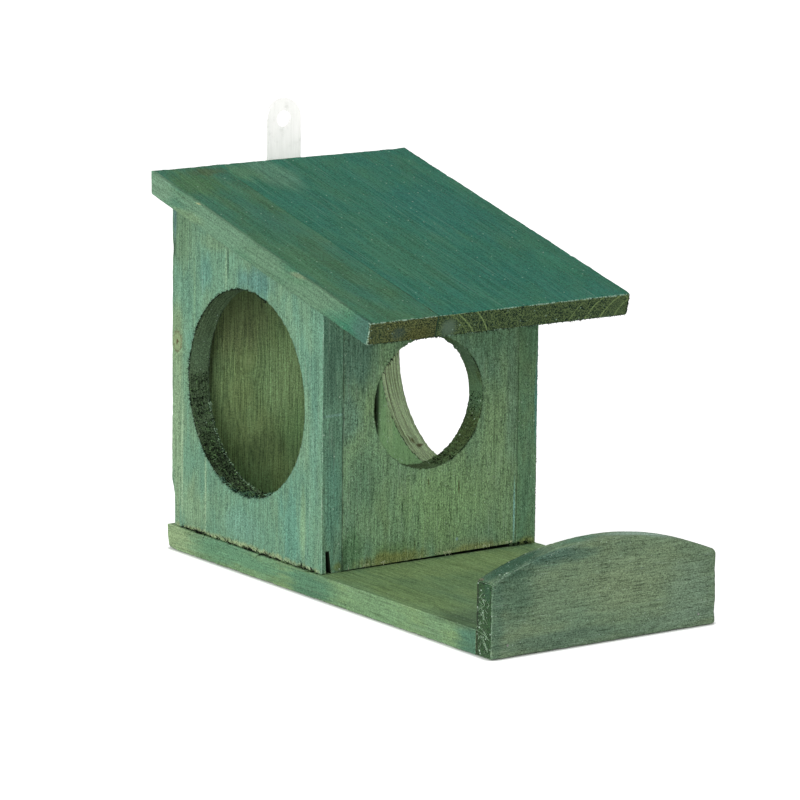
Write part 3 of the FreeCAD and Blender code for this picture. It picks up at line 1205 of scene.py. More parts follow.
@dataclass
class RoofBoard:
    """One of the two boards of the roof, plumb at the rear and square to the slope in front.

    Attributes:
        node: the CAD node it stands for.
        slope: the roof's planes.
        seam_high: whether its higher side across is the seam.
        step: spacing of the grid down the slope.
        seed: picks its wear.
        round_over: rounding of the free edges.
        seam_round: rounding along the seam, which opens towards the front.
        soft: extra rounding of the free front corner and its reach.
        seam_dirt: how far down the slope the seam starts to hold dirt, and how much.
        nicks: depth, place down the slope and reach of nicks in the upper left edge.
    """

    node: str
    slope: RoofSlope
    seam_high: bool
    seed: int
    step: float = 1.5
    round_over: float = 0.7
    seam_round: Pair = (0.16, 0.7)
    soft: Pair = (0.5, 3.0)
    seam_dirt: Pair = (70.0, 0.75)
    nicks: tuple[tuple[float, float, float], ...] = ()

    def shell(self) -> Shell:
        """Block grid in slope directions, its rear end sheared to plumb, then put in place.

        Returns:
            The board's surface.
        """
        low, high = node_box(self.node)
        length = (self.slope.rear_y - low[1]) / math.cos(self.slope.tilt) + 0.02
        width, thickness = high[0] - low[0], self.slope.thickness
        xs = low[0] + stations(width, 0.9, self.round_over)
        ss = stations(length, self.step, self.round_over)
        ts = stations(thickness, 1.0, self.round_over)
        points, quads = block_grid(xs, ss, ts)
        quads = quads[:, ::-1]
        rear = points[:, 2] * math.tan(self.slope.tilt)
        points[:, 1] = rear + points[:, 1] * (length - rear) / length
        floor = np.stack([np.full_like(rear, low[0]), rear, np.zeros_like(rear)], -1)
        ceiling = np.broadcast_to([high[0], length, thickness], floor.shape)
        far_floor, far_ceiling = floor.copy(), ceiling.copy()
        if self.seam_high:
            far_ceiling[:, 0] += 50.0
        else:
            far_floor[:, 0] -= 50.0
        edge = edge_gap(points, far_floor, far_ceiling)
        edge += 0.9 * rise(points[:, 1], length - 1.2, length - 3.0)
        seam_gap = high[0] - points[:, 0] if self.seam_high else points[:, 0] - low[0]
        radius = self.rounding(points, seam_gap, (low[0], high[0]), length)
        points, away = eased(points, floor, ceiling, radius)
        points = weathered(points, away, self.seed + 5, 0.14)
        ragged = rise(points[:, 1], length - 1.0, length - 0.1)
        points -= away * (0.28 * ragged * (0.5 + 0.5 * grid_noise(points, 0.8, self.seed + 9)))[:, None]
        darkening = self.seam_dirt[1] * rise(points[:, 1], self.seam_dirt[0], length - 8.0)
        darkening = darkening * (0.65 + 0.5 * grid_noise(points, 3.0, self.seed + 11))
        grime = np.clip(darkening, 0.0, 1.0) * rise(seam_gap, 0.75, 0.15)
        return Shell(self.slope.placed(points), [quads], board_marks(edge, grime=grime))

    def rounding(self, points: Array, seam_gap: Array, sides: Pair, length: float) -> Array:
        """Rounding of the edges: small along the seam, larger at the free front corner and the nicks.

        Args:
            points: places (across, along, deep) on the sharp board.
            seam_gap: distance from the seam.
            sides: places of the low and the high side across.
            length: length down the slope.

        Returns:
            The radius at each place.
        """
        radius = worn_radius(points, self.round_over, self.seed)
        front = rise(points[:, 1], length - 7.0, length - 0.5)
        seam = self.seam_round[0] + (self.seam_round[1] - self.seam_round[0]) * front
        radius = np.where(seam_gap < 1.2, np.minimum(radius, seam), radius)
        free = sides[0] if self.seam_high else sides[1]
        corner = np.hypot(points[:, 0] - free, points[:, 1] - length)
        radius += self.soft[0] * rise(corner, self.soft[1], 0.4)
        for depth, along, reach in self.nicks:
            radius += depth * rise(norms(points - [sides[0], along, 0.0]), reach, 0.0)
        return radius


@dataclass
class Hole:
    """A round hole in a wall.

    Attributes:
        across: place of its centre along the wall.
        height: height of its centre.
        radius: its radius.
        rim: rounding of its rims.
        tear: how far torn grain widens it above and below.
    """

    across: float
    height: float
    radius: float
    rim: float = 0.35
    tear: float = 0.35


@dataclass
class HoledWall:
    """Upright board with a round hole, under the slope of the roof.

    Its surface is one grid, closed both ways: columns are rays from the hole's centre to the
    board's outline, rows go once round the cross-section of the ring that a hole makes of a board.

    Attributes:
        node: the CAD node it stands for.
        slope: the roof's planes.
        hole: its hole.
        along: axis that the wall runs along, 0 for X and 1 for Y.
        seed: picks its wear.
        round_over: rounding of its outer edges.
        step: spacing of the columns on the outline.
        lifts: how far its bottom edge is up at its low and high end.
        joints: places along the wall where its outer face meets another board, and their depth.
        foot_shade: share of painted shade along the bottom edge, where it stands over the base.
        rim_dirt: share of dirt along the rims of the hole.
    """

    node: str
    slope: RoofSlope
    hole: Hole
    along: int
    seed: int
    round_over: float = 0.6
    step: float = 0.9
    lifts: Pair = (0.0, 0.0)
    joints: tuple[Pair, ...] = ()
    foot_shade: float = 0.8
    rim_dirt: float = 0.9

    def layers(self, thickness: float) -> Array:
        """Depths of the rows through the board."""
        return stations(thickness, 0.9, self.round_over)

    def top(self, u: Array) -> Array:
        """Height of the upper edge at places along the wall."""
        depth = u if self.along == 1 else np.full_like(u, node_box(self.node)[0][1])
        return self.slope.under_z(depth)

    def outline(self, start: float, end: float, bottom: float) -> Array:
        """Points round the face: bottom, high end, top and low end, close at the corners.

        Args:
            start: low end along the wall.
            end: high end.
            bottom: height of the bottom edge, its lifts left out.

        Returns:
            Places (along, height).
        """
        corners = [(start, bottom + self.lifts[0]), (end, bottom + self.lifts[1]),
                   (end, float(self.top(end))), (start, float(self.top(start)))]
        rows = []
        for number, corner in enumerate(corners):
            a, b = np.array(corner), np.array(corners[(number + 1) % 4])
            span = float(norms(b - a))
            places = stations(span, self.step, self.round_over)[:-1]
            rows.append(a + (b - a) * (places / span)[:, None])
        return np.concatenate(rows)

    def rows(self, room: Array, thickness: float) -> tuple[Array, Array]:
        """Distance from the hole and depth in the board of each row of each column.

        Args:
            room: distance from the hole to the outline, per column.
            thickness: thickness of the board.

        Returns:
            Distances (columns, rows) and depths (rows,).
        """
        near = np.array([0.0, 0.1, 0.22, 0.36, 0.55, 0.85, 1.3, 2.0, 3.0])
        middle = np.linspace(0.0, 1.0, 34)[1:-1]
        span = room[:, None] - near[-1] - near[-2]
        out = np.concatenate([np.broadcast_to(near, (len(room), len(near))), near[-1] + span * middle,
                              room[:, None] - near[::-1][1:]], axis=1)
        through = self.layers(thickness)
        still = np.ones(len(through) - 2)
        travel = np.concatenate([out, room[:, None] * still, out[:, ::-1], 0.0 * room[:, None] * still],
                                axis=1)
        count = out.shape[1]
        deep = np.concatenate([np.zeros(count), through[1:-1], np.full(count, thickness),
                               through[::-1][1:-1]])
        return travel, deep

    def shell(self) -> Shell:
        """Closed ring grid with worn edges and torn rims.

        Returns:
            The board's surface.
        """
        low, high = node_box(self.node)
        across = 1 - self.along
        thickness = high[across] - low[across]
        start, end = low[self.along], high[self.along]
        bottom = round(low[2] - self.lifts[0], 1)
        outline = self.outline(start, end, bottom)
        centre = np.array([self.hole.across, self.hole.height])
        ray = outline - centre
        reach = norms(ray)
        ray /= reach[:, None]
        theta = np.arctan2(ray[:, 1], ray[:, 0])
        rim_place = np.stack([np.cos(theta) * 9.0, np.sin(theta) * 9.0, 0 * theta], -1)
        radius = self.hole.radius + self.rim_wander(rim_place, theta)
        travel, deep = self.rows(reach - radius, thickness)
        rho = radius[:, None] + travel
        face = centre + ray[:, None] * rho[..., None]
        depth = np.broadcast_to(deep, rho.shape)
        flat = np.stack([face[..., 0], face[..., 1], depth], -1)
        base_radius = np.broadcast_to(radius[:, None], rho.shape)
        points, marks = self.worn(flat.reshape(-1, 3), base_radius.ravel(), centre, thickness,
                                  (start, end, bottom))
        marks["grime"] = np.maximum(marks["grime"], self.darkening(points, thickness, bottom))
        ids = np.arange(rho.size).reshape(rho.shape)
        right, up = np.roll(ids, -1, axis=0), np.roll(ids, -1, axis=1)
        quads = np.stack([ids, right, np.roll(right, -1, axis=1), up], -1).reshape(-1, 4)
        points = self.sculpted(points, marks)
        placed = np.zeros_like(points)
        placed[:, self.along] = points[:, 0]
        placed[:, 2] = points[:, 1]
        placed[:, across] = low[across] + points[:, 2]
        if self.along == 1:
            quads = quads[:, ::-1]
        return Shell(placed, [quads], marks)

    def rim_wander(self, place: Array, theta: Array) -> Array:
        """How far the sawn hole strays from round: a slow drift and torn grain top and bottom."""
        drift = 0.22 * grid_noise(place * 0.5, 3.0, self.seed + 3)
        torn = self.hole.tear * np.abs(np.sin(theta)) ** 2
        return drift + (0.1 + torn) * grid_noise(place * 6.0, 1.0, self.seed + 4)

    def worn(self, points: Array, radius: Array, centre: Array, thickness: float,
             ends: tuple[float, float, float]) -> tuple[Array, dict[str, Array]]:
        """Rounds the outer edges and the rims and lets the faces sink a little.

        Args:
            points: places (along, height, depth) on the sharp board.
            radius: radius of the hole at each place.
            centre: centre of the hole.
            thickness: thickness of the board.
            ends: low end, high end and bottom.

        Returns:
            Worn places and marks.
        """
        u = points[:, 0]
        share = (u - ends[0]) / (ends[1] - ends[0])
        floor_z = ends[2] + self.lifts[0] + (self.lifts[1] - self.lifts[0]) * share
        low = np.stack([np.full_like(u, ends[0]), floor_z, np.zeros_like(u)], -1)
        high = np.stack([np.full_like(u, ends[1]), self.top(u), np.full_like(u, thickness)], -1)
        offset = points[:, :2] - centre
        rho = norms(offset)
        deep_gap = np.minimum(points[:, 2], thickness - points[:, 2])
        rim_gap = np.maximum(rho - radius, deep_gap)
        on_wall = rho - radius < 1e-6
        edge = np.where(on_wall, deep_gap, np.minimum(edge_gap(points, low, high), rim_gap))
        cut = on_wall.astype(float)
        eased_points, away = eased(points, low, high, worn_radius(points, self.round_over, self.seed))
        rim = np.clip(self.hole.rim * (1.0 + 0.7 * grid_noise(points, 1.6, self.seed + 6)), 0.08, None)
        core_rho = np.maximum(rho, radius + rim)
        core_deep = np.clip(points[:, 2], rim, thickness - rim)
        out = unit(np.stack([rho - core_rho, points[:, 2] - core_deep], -1))
        near = rho - radius < rim + 0.05
        new_rho = core_rho + out[:, 0] * rim
        around = offset / rho[:, None]
        rim_points = np.concatenate([centre + around * new_rho[:, None],
                                     (core_deep + out[:, 1] * rim)[:, None]], axis=1)
        rim_away = np.concatenate([around * out[:, :1], out[:, 1:]], axis=1)
        points = np.where(near[:, None], rim_points, eased_points)
        away = np.where(near[:, None], rim_away, away)
        saw = grid_noise(points, (9.0, 9.0, 0.9), self.seed + 7) * 0.5 + 0.5
        points = points - away * (cut * 0.16 * saw)[:, None]
        rim = np.hypot(np.clip(rho - radius, 0.0, None), deep_gap)
        speckle = 0.55 + 0.9 * grid_noise(points, 0.9, self.seed + 9)
        grime = np.clip(self.rim_dirt * rise(rim, 0.75, 0.15) * speckle, 0.0, 1.0)
        return weathered(points, away, self.seed + 8), board_marks(edge, cut, grime)

    def darkening(self, points: Array, thickness: float, bottom: float) -> Array:
        """Dirt along the joints and painted shade along the bottom edge, broken up by noise.

        Args:
            points: places (along, height, depth).
            thickness: thickness of the board.
            bottom: height of the bottom edge.

        Returns:
            Share of dirt and painted shade at each place.
        """
        speckle = 0.7 + 0.3 * grid_noise(points, 1.5, self.seed + 21)
        speckle = speckle + 0.45 * grid_noise(points, 12.0, self.seed)
        total = np.zeros(len(points))
        for along, deep in self.joints:
            gap = np.hypot(points[:, 0] - along, points[:, 2] - deep)
            total = np.maximum(total, 0.55 * rise(gap, 0.6, 0.15) * speckle)
        # Painted shade along the bottom edges, in the crease and gap over the base.
        for deep in (0.0, thickness):
            gap = np.hypot(points[:, 1] - bottom, points[:, 2] - deep)
            total = np.maximum(total, self.foot_shade * rise(gap, 1.0, 0.3) * speckle)
        return np.clip(total, 0.0, 1.0)

    def sculpted(self, points: Array, marks: dict[str, Array]) -> Array:
        """Damage of one board alone; a plain wall has none."""
        return points


@dataclass
class LeftWall(HoledWall):
    """The left wall, with the split in its front edge and its lower rear corner broken off.

    Attributes:
        split_height: height of the split.
        split_depth: how far it goes in.
        split_place: distance of its middle from the outer face, at the bottom.
        split_lean: how far it leans outwards over its height.
        split_widths: width at the bottom and at the top.
        broken: depth of the broken corner, and the heights where it starts and ends.
    """

    split_height: float = 9.8
    split_depth: float = 6.0
    split_place: float = 3.9
    split_lean: float = 0.8
    split_widths: Pair = (2.5, 1.9)
    broken: tuple[float, float, float] = (2.3, 24.0, 33.0)

    def layers(self, thickness: float) -> Array:
        """Depths of the rows through the board, in pairs at both sides of the split.

        Args:
            thickness: thickness of the board.

        Returns:
            Rising depths.
        """
        half = self.split_widths[0] / 2.0
        sides = np.array([self.split_place - half, self.split_place + half])
        close = (sides[:, None] + np.array([-0.3, -0.12, -0.02, 0.02, 0.12])).ravel()
        plain = super().layers(thickness)
        plain = plain[np.abs(plain[:, None] - sides).min(axis=1) > 0.45]
        return np.sort(np.concatenate([plain, close]))

    def sculpted(self, points: Array, marks: dict[str, Array]) -> Array:
        """Cuts the split, breaks off the corner's outer side and nicks the rear edge.

        Args:
            points: places (along, height, depth from the outer face).
            marks: values at each point; the split gets painted shade.

        Returns:
            The changed places.
        """
        end = points[:, 0].max()
        near_end = rise(points[:, 0], end - 7.0, end - 0.2)
        outer = rise(points[:, 2], 7.0, 2.5)
        height = points[:, 1] + 2.0 * grid_noise(points, 5.0, 71)
        points[:, 0] -= self.broken[0] * near_end * outer * rise(height, self.broken[2], self.broken[1])
        notch = np.exp(-(((points[:, 1] - 139.0) / 3.5) ** 2))
        points[:, 0] -= 0.8 * notch * near_end * outer
        return self.cleft(points, marks["grime"])

    def cleft(self, points: Array, grime: Array) -> Array:
        """Cuts the split: rows inside its width leave the corner's outside and take its inside.

        A row there runs down the front edge and on along the bottom. Its stretch round the corner,
        as long as the split is high and deep, is put on the way in at the top and then down. All
        rows near the split lean with it.

        Args:
            points: places (along, height, depth from the outer face).
            grime: share of dirt and painted shade at each place, set to 1 in the split as painted shade.

        Returns:
            The changed places.
        """
        front, bottom = points[:, 0].min(), points[:, 1].min()
        half = self.split_widths[0] / 2.0
        aside = points[:, 2] - self.split_place
        over_bottom = points[:, 1] - bottom
        inside = np.abs(aside) < half
        on_front = inside & (points[:, 0] - front < 0.5) & (over_bottom < self.split_height)
        on_bottom = inside & (over_bottom < 0.5) & (points[:, 0] - front < self.split_depth)
        run = np.where(on_front, self.split_height - over_bottom, self.split_height + points[:, 0] - front)
        inward = np.clip(run, 0.0, self.split_depth)
        down = np.clip(run - self.split_depth, 0.0, None)
        moved = on_front | on_bottom
        points[:, 0] = np.where(moved, front + inward, points[:, 0])
        points[:, 1] = np.where(moved, bottom + self.split_height - down, points[:, 1])
        border = (np.abs(aside) < half + 0.06) & (over_bottom < self.split_height + 0.1)
        # Painted shade: the inside and mouth of the split are darkened fully.
        grime[moved | (border & (points[:, 0] - front < self.split_depth))] = 1.0
        share = np.clip((points[:, 1] - bottom) / self.split_height, 0.0, 1.0)
        fade = rise(points[:, 1] - bottom, self.split_height + 8.0, self.split_height)
        fade = fade * rise(points[:, 0] - front, self.split_depth + 8.0, self.split_depth + 1.0)
        near = rise(np.abs(aside), half + 1.6, half + 0.3) * fade
        narrower = (self.split_widths[1] / self.split_widths[0] - 1.0) * share
        points[:, 2] += near * (narrower * np.clip(aside, -half, half) - self.split_lean * share)
        return points


@dataclass
class BackWall:
    """Closed wall at the rear of the house.

    Attributes:
        slope: the roof's planes.
        step: spacing of the grid.
        round_over: rounding of its edges.
    """

    slope: RoofSlope
    step: float = 1.5
    round_over: float = 0.5

    def shell(self) -> Shell:
        """Block grid whose upper layer follows the roof.

        Returns:
            The board's surface.
        """
        low, high = node_box("back_wall")
        xs = low[0] + stations(high[0] - low[0], self.step, self.round_over)
        ys = low[1] + stations(high[1] - low[1], 1.2, self.round_over)
        zs = stations(1.0, 0.01, 0.003)
        points, quads = block_grid(xs, ys, zs)
        top = self.slope.under_z(points[:, 1])
        points[:, 2] = low[2] + points[:, 2] * (top - low[2])
        ceiling = np.stack([np.full_like(top, high[0]), np.full_like(top, high[1]), top], -1)
        edge = edge_gap(points, low, ceiling)
        points, away = eased(points, low, ceiling, worn_radius(points, self.round_over, 41))
        points = weathered(points, away, 42)
        return Shell(points, [quads], board_marks(edge))


@dataclass
class Pins:
    """Headless pins, set a little below the surface and stained over.

    Attributes:
        diameter: their diameter.
        length: their length.
        sunk: how far their ends lie below the surface.
        wall_low: height of the lower wall pins above the base.
        wall_below_roof: distance of the upper wall pins below the roof.
        roof_inset: distance of the roof pins from the house's front and rear.
    """

    diameter: float = 1.0
    length: float = 21.0
    sunk: float = 0.35
    wall_low: float = 19.0
    wall_below_roof: float = 16.0
    roof_inset: float = 26.0

    def pin(self, start: Place, way: Place) -> Shell:
        """One pin: a rod with a slightly domed end and a short point.

        Args:
            start: where it enters the wood.
            way: unit direction of the rod.

        Returns:
            A closed rod.
        """
        r = self.diameter / 2.0
        profile = [(self.sunk, 0.7 * r), (self.sunk + 0.08, 0.95 * r), (self.sunk + 0.2, r),
                   (self.length - 1.2, r), (self.length - 0.6, 0.55 * r), (self.length, 0.05 * r)]
        return turned(np.array(start), np.array(way), profile, 12)

    def group(self, places: Sequence[tuple[Place, Place]]) -> Shell:
        """Several pins in one shell.

        Args:
            places: start and direction of each.

        Returns:
            The shell.
        """
        total = self.pin(*places[0])
        for place in places[1:]:
            total = total.joined(self.pin(*place))
        return total

    def corner(self, y: float, slope: RoofSlope) -> list[tuple[Place, Place]]:
        """Pins through both side walls at depth y."""
        left, right = node_box("left_wall")[0][0], node_box("right_wall")[1][0]
        bottom = node_box("left_wall")[0][2]
        heights = (bottom + self.wall_low, float(slope.under_z(y)) - self.wall_below_roof)
        return [((x, y, z), (way, 0.0, 0.0)) for x, way in ((left, 1.0), (right, -1.0)) for z in heights]

    def places(self, slope: RoofSlope, lip: Lip) -> dict[str, list[tuple[Place, Place]]]:
        """Where every pin starts and which way it goes, from the boards that it joins.

        Args:
            slope: the roof's planes.
            lip: the lip, which says where its own pins are.

        Returns:
            Starts and directions by node name.
        """
        front, back = node_box("front_wall"), node_box("back_wall")
        lip_low, lip_high = node_box("lip_board")
        house_front, house_rear = node_box("left_wall")[0][1], node_box("left_wall")[1][1]
        middle = (node_box("right_wall")[0][0] + node_box("right_wall")[1][0]) / 2.0
        down = (0.0, math.sin(slope.tilt), -math.cos(slope.tilt))
        roof_rows = (house_front + self.roof_inset, house_rear - self.roof_inset)
        return {
            "front_wall_pins": self.corner((front[0][1] + front[1][1]) / 2.0, slope),
            "back_wall_pins": self.corner((back[0][1] + back[1][1]) / 2.0, slope),
            "roof_pins": [((x, y, float(slope.under_z(y)) + slope.thickness / math.cos(slope.tilt)), down)
                          for x in (-middle, middle) for y in roof_rows],
            "lip_pins": [((x, lip_low[1], lip.pin_height), (0.0, 1.0, 0.0))
                         for x in (lip_low[0] + lip.pin_inset, lip_high[0] - lip.pin_inset)],
        }


@dataclass
class House:
    """The four walls with their holes and torn fibres.

    Attributes:
        slope: the roof's planes.
        side_hole: hole in both side walls.
        front_hole: hole in the front wall.
        gaps: how far the front wall's bottom edge is up at its left and right end.
    """

    slope: RoofSlope
    side_hole: Hole = field(default_factory=lambda: Hole(63.0, 81.8, 46.5, rim=0.4, tear=0.4))
    front_hole: Hole = field(default_factory=lambda: Hole(-1.5, 81.8, 29.5, rim=0.4, tear=0.45))
    gaps: Pair = (0.4, 1.6)

    def walls(self) -> dict[str, Shell]:
        """Builds the walls.

        Returns:
            Their surfaces by node name.
        """
        low, high = node_box("left_wall")
        return {
            "left_wall": LeftWall("left_wall", self.slope, self.side_hole, 1, 100, round_over=0.42,
                                  step=0.97, joints=((low[1], high[0] - low[0]),), foot_shade=0.12).shell(),
            "right_wall": HoledWall("right_wall", self.slope, self.side_hole, 1, 200,
                                    joints=((low[1], 0.0),)).shell(),
            "front_wall": HoledWall("front_wall", self.slope, self.front_hole, 0, 300, round_over=0.18,
                                    lifts=self.gaps, joints=((high[0], 0.0), (-high[0], 0.0)),
                                    rim_dirt=0.6).shell(),
            "back_wall": BackWall(self.slope).shell(),
        }

    def fuzz(self) -> None:
        """Grows the torn fibres of the holes."""
        outer, inner = node_box("left_wall")[0][0], node_box("left_wall")[1][0]
        face = node_box("front_wall")[0][1]
        side, front = self.side_hole, self.front_hole
        Tuft("left_hole_fuzz", HOLE_FIBRE, "side_wood", 1300, (0.5, 2.0), 0.23, (-0.3, -0.1, -0.4), 0.55,
             0, 801).on_rim(side, 1, (outer + 0.3, inner - 0.5), (-98.0, 2.0))
        Tuft("left_rim_fuzz", DARK_FIBRE, "side_wood", 620, (0.5, 1.9), 0.19, (-0.9, 0.0, -0.2), 0.45,
             24, 802, inward=-0.4).on_rim(side, 1, (outer, outer + 0.3), (-110.0, 110.0))
        Tuft("left_low_rim_fuzz", TEAL_FIBRE, "side_wood", 300, (0.7, 2.6), 0.21, (-0.9, 0.0, 0.0), 0.6,
             12, 803, inward=-0.3).on_rim(side, 1, (outer, outer + 1.5), (-118.0, -64.0))
        Tuft("left_inner_rim_specks", MINT_FIBRE, "side_wood", 170, (0.4, 1.4), 0.25, (-0.1, 0.0, 0.2), 0.9,
             40, 804, inward=0.7).on_rim(side, 1, (inner - 1.6, inner - 0.1), (-88.0, -12.0))
        Tuft("front_hole_fuzz", HOLE_FIBRE, "front_wood", 620, (0.4, 1.4), 0.2, (0.0, -0.3, -0.1), 0.5,
             0, 805).on_rim(front, 0, (face + 0.4, face + 10.5), (-80.0, 2.0))
        Tuft("front_rim_fuzz", DARK_FIBRE, "front_wood", 260, (0.3, 1.3), 0.18, (-0.1, -0.6, -0.1), 0.4,
             14, 806, inward=-0.1).on_rim(front, 0, (face, face + 0.6), (-110.0, 40.0))
        Tuft("front_rim_teeth", DARK_FIBRE, "front_wood", 30, (0.7, 2.0), 0.3, (0.1, -0.1, -0.3), 0.3,
             9, 807).on_rim(front, 0, (face, face + 1.0), (124.0, 154.0))


# Fibres: share in clumps, scatter of a clump, root below the surface (mm), curl of the tip.
CLUMPED = 0.65
CLUMP_SIZE = 0.018
ROOT_DEPTH = 0.15
CURL = 0.5


@dataclass(frozen=True)
class Tuft:
    """One growth of torn fibres.

    Attributes:
        name: name of its piece.
        finish: its material.
        slot: the record's slot that it belongs to; not used.
        count: number of fibres.
        length: shortest and longest, in millimetres.
        thick: radius at the root.
        lean: direction that they lean in, on top of the surface's own.
        spread: how much the directions scatter.
        clumps: number of random places they gather round, or 0 for an even growth.
        seed: picks the random fibres.
        spots: chosen places to gather round, from 0 to 1, instead of random ones.
        inward: how strongly those of a hole point to its middle, or away from it.
    """

    name: str
    finish: Fibre
    slot: str
    count: int
    length: Pair
    thick: float
    lean: Place
    spread: float
    clumps: int
    seed: int
    spots: tuple[float, ...] = ()
    inward: float = 0.6

    def run(self, rng: np.random.Generator) -> Array:
        """Places along the growth: all even, or a good part of them in clumps.

        Args:
            rng: random numbers.

        Returns:
            One place from 0 to 1 for each fibre.
        """
        even = rng.uniform(0.0, 1.0, self.count)
        if self.clumps == 0 and not self.spots:
            return even
        middles = np.array(self.spots) if self.spots else rng.uniform(0.0, 1.0, self.clumps)
        near = rng.choice(middles, self.count) + rng.normal(0.0, CLUMP_SIZE, self.count)
        return np.clip(np.where(rng.uniform(size=self.count) < CLUMPED, near, even), 0.0, 1.0)

    def grow(self, roots: Array, ways: Array, rng: np.random.Generator) -> None:
        """Makes the piece.

        Args:
            roots: where the fibres start, in millimetres.
            ways: the surface's own direction at each root.
            rng: random numbers.
        """
        way = unit(ways + np.array(self.lean) + rng.normal(0.0, self.spread, roots.shape))
        size = rng.uniform(0.0, 1.0, self.count) ** 2
        lengths = self.length[0] + (self.length[1] - self.length[0]) * size
        thick = self.thick * rng.uniform(0.6, 1.3, self.count)
        spikes = strands(roots - way * ROOT_DEPTH, way, lengths, thick, CURL, self.seed)
        made = spikes.piece(self.name, self.finish.material())

    def on_rim(self, hole: Hole, along: int, depths: Pair, turn: Pair) -> None:
        """Grows from the sawn wall of a hole.

        Args:
            hole: the hole.
            along: axis that the wall runs along.
            depths: places across the wall that the roots lie between.
            turn: angles in degrees that they lie between, 0 to the high side and 90 up.
        """
        rng = np.random.default_rng(self.seed)
        angle = np.radians(turn[0] + (turn[1] - turn[0]) * self.run(rng))
        spot = np.zeros((self.count, 3))
        spot[:, along] = hole.across + hole.radius * np.cos(angle)
        spot[:, 2] = hole.height + hole.radius * np.sin(angle)
        spot[:, 1 - along] = rng.uniform(*depths, self.count)
        inward = np.zeros_like(spot)
        inward[:, along] = -np.cos(angle)
        inward[:, 2] = -np.sin(angle)
        self.grow(spot, inward * self.inward, rng)

    def on_line(self, start: Place, end: Place, wander: Place) -> None:
        """Grows along a straight edge.

        Args:
            start: one end of the edge in millimetres.
            end: the other end.
            wander: how far roots stray from the edge along X, Y and Z.
        """
        rng = np.random.default_rng(self.seed)
        share = self.run(rng)[:, None]
        spot = np.array(start) + (np.array(end) - np.array(start)) * share
        spot += rng.uniform(0.0, 1.0, spot.shape) * wander
        self.grow(spot, np.zeros_like(spot), rng)


def surroundings() -> None:
    """White world as the camera and reflections see it, and a dimmer one that lights the box."""
    ambient, backdrop = 0.47, 1.0
    world = bpy.data.worlds.new("surroundings")
    bpy.context.scene.world = world
    wires = Wiring.blank(world)
    rays = wires.node("ShaderNodeLightPath").outputs
    seen = wires.math("MAXIMUM", rays["Is Camera Ray"], wires.math(
        "MAXIMUM", rays["Is Glossy Ray"], rays["Is Transmission Ray"]))
    plain = wires.node("ShaderNodeBackground", {"Color": WHITE, "Strength": ambient})
    white = wires.node("ShaderNodeBackground", {"Color": WHITE, "Strength": backdrop})
    mixed = wires.node("ShaderNodeMixShader", {0: seen, 1: plain.outputs[0], 2: white.outputs[0]})
    wires.node("ShaderNodeOutputWorld", {"Surface": mixed.outputs[0]})


def key_lamp(middle: Vector) -> None:
    """One large soft lamp to the left and a little in front, turned to the box.

    Args:
        middle: middle of the box, in metres.
    """
    key_power, key_size, key_distance = 11.6, 0.9, 1.3
    key_way = Vector((-0.90, -0.31, 0.30)).normalized()
    lamp_data = bpy.data.lights.new("key", "AREA")
    lamp_data.energy, lamp_data.size = key_power, key_size
    lamp = bpy.data.objects.new("key", lamp_data)
    lamp.location = middle + key_way * key_distance
    lamp.rotation_mode = "QUATERNION"
    lamp.rotation_quaternion = key_way.to_track_quat("Z", "Y")
    bpy.context.scene.collection.objects.link(lamp)


def floor() -> None:
    """Pale floor that keeps only the shadow close to the box, and is bright in reflections."""
    mirrored_floor, floor_grey = 1.18, 0.8
    shadow_reach, shadow_depth = 0.0035, 0.7
    reach, drop = 4.0, -0.0003
    mesh = bpy.data.meshes.new("floor")
    mesh.from_pydata([(-reach, -reach, drop), (reach, -reach, drop), (reach, reach, drop),
                      (-reach, reach, drop)], [], [(0, 1, 2, 3)])
    ground = bpy.data.objects.new("floor", mesh)
    bpy.context.scene.collection.objects.link(ground)
    paper = bpy.data.materials.new("floor_paper")
    wires = Wiring.blank(paper)
    rays = wires.node("ShaderNodeLightPath").outputs
    matt = wires.node("ShaderNodeBsdfDiffuse", {"Color": (floor_grey, floor_grey, floor_grey, 1)})
    faint = wires.node("ShaderNodeBsdfDiffuse", {"Color": WHITE})
    near = wires.node("ShaderNodeAmbientOcclusion", {"Distance": shadow_reach}, samples=16).outputs["AO"]
    strength = wires.times(wires.band(near, 0.5, 0.98), shadow_depth)
    glow = wires.node("ShaderNodeEmission", {"Color": WHITE, "Strength": strength})
    bright = wires.node("ShaderNodeAddShader", {0: faint.outputs[0], 1: glow.outputs[0]})
    seen = wires.node("ShaderNodeMixShader", {
        0: rays["Is Camera Ray"], 1: matt.outputs[0], 2: bright.outputs[0]})
    white = wires.node("ShaderNodeEmission", {"Color": WHITE, "Strength": mirrored_floor})
    mixed = wires.node("ShaderNodeMixShader", {
        0: rays["Is Glossy Ray"], 1: seen.outputs[0], 2: white.outputs[0]})
    wires.node("ShaderNodeOutputMaterial", {"Surface": mixed.outputs[0]})
    mesh.materials.append(paper)


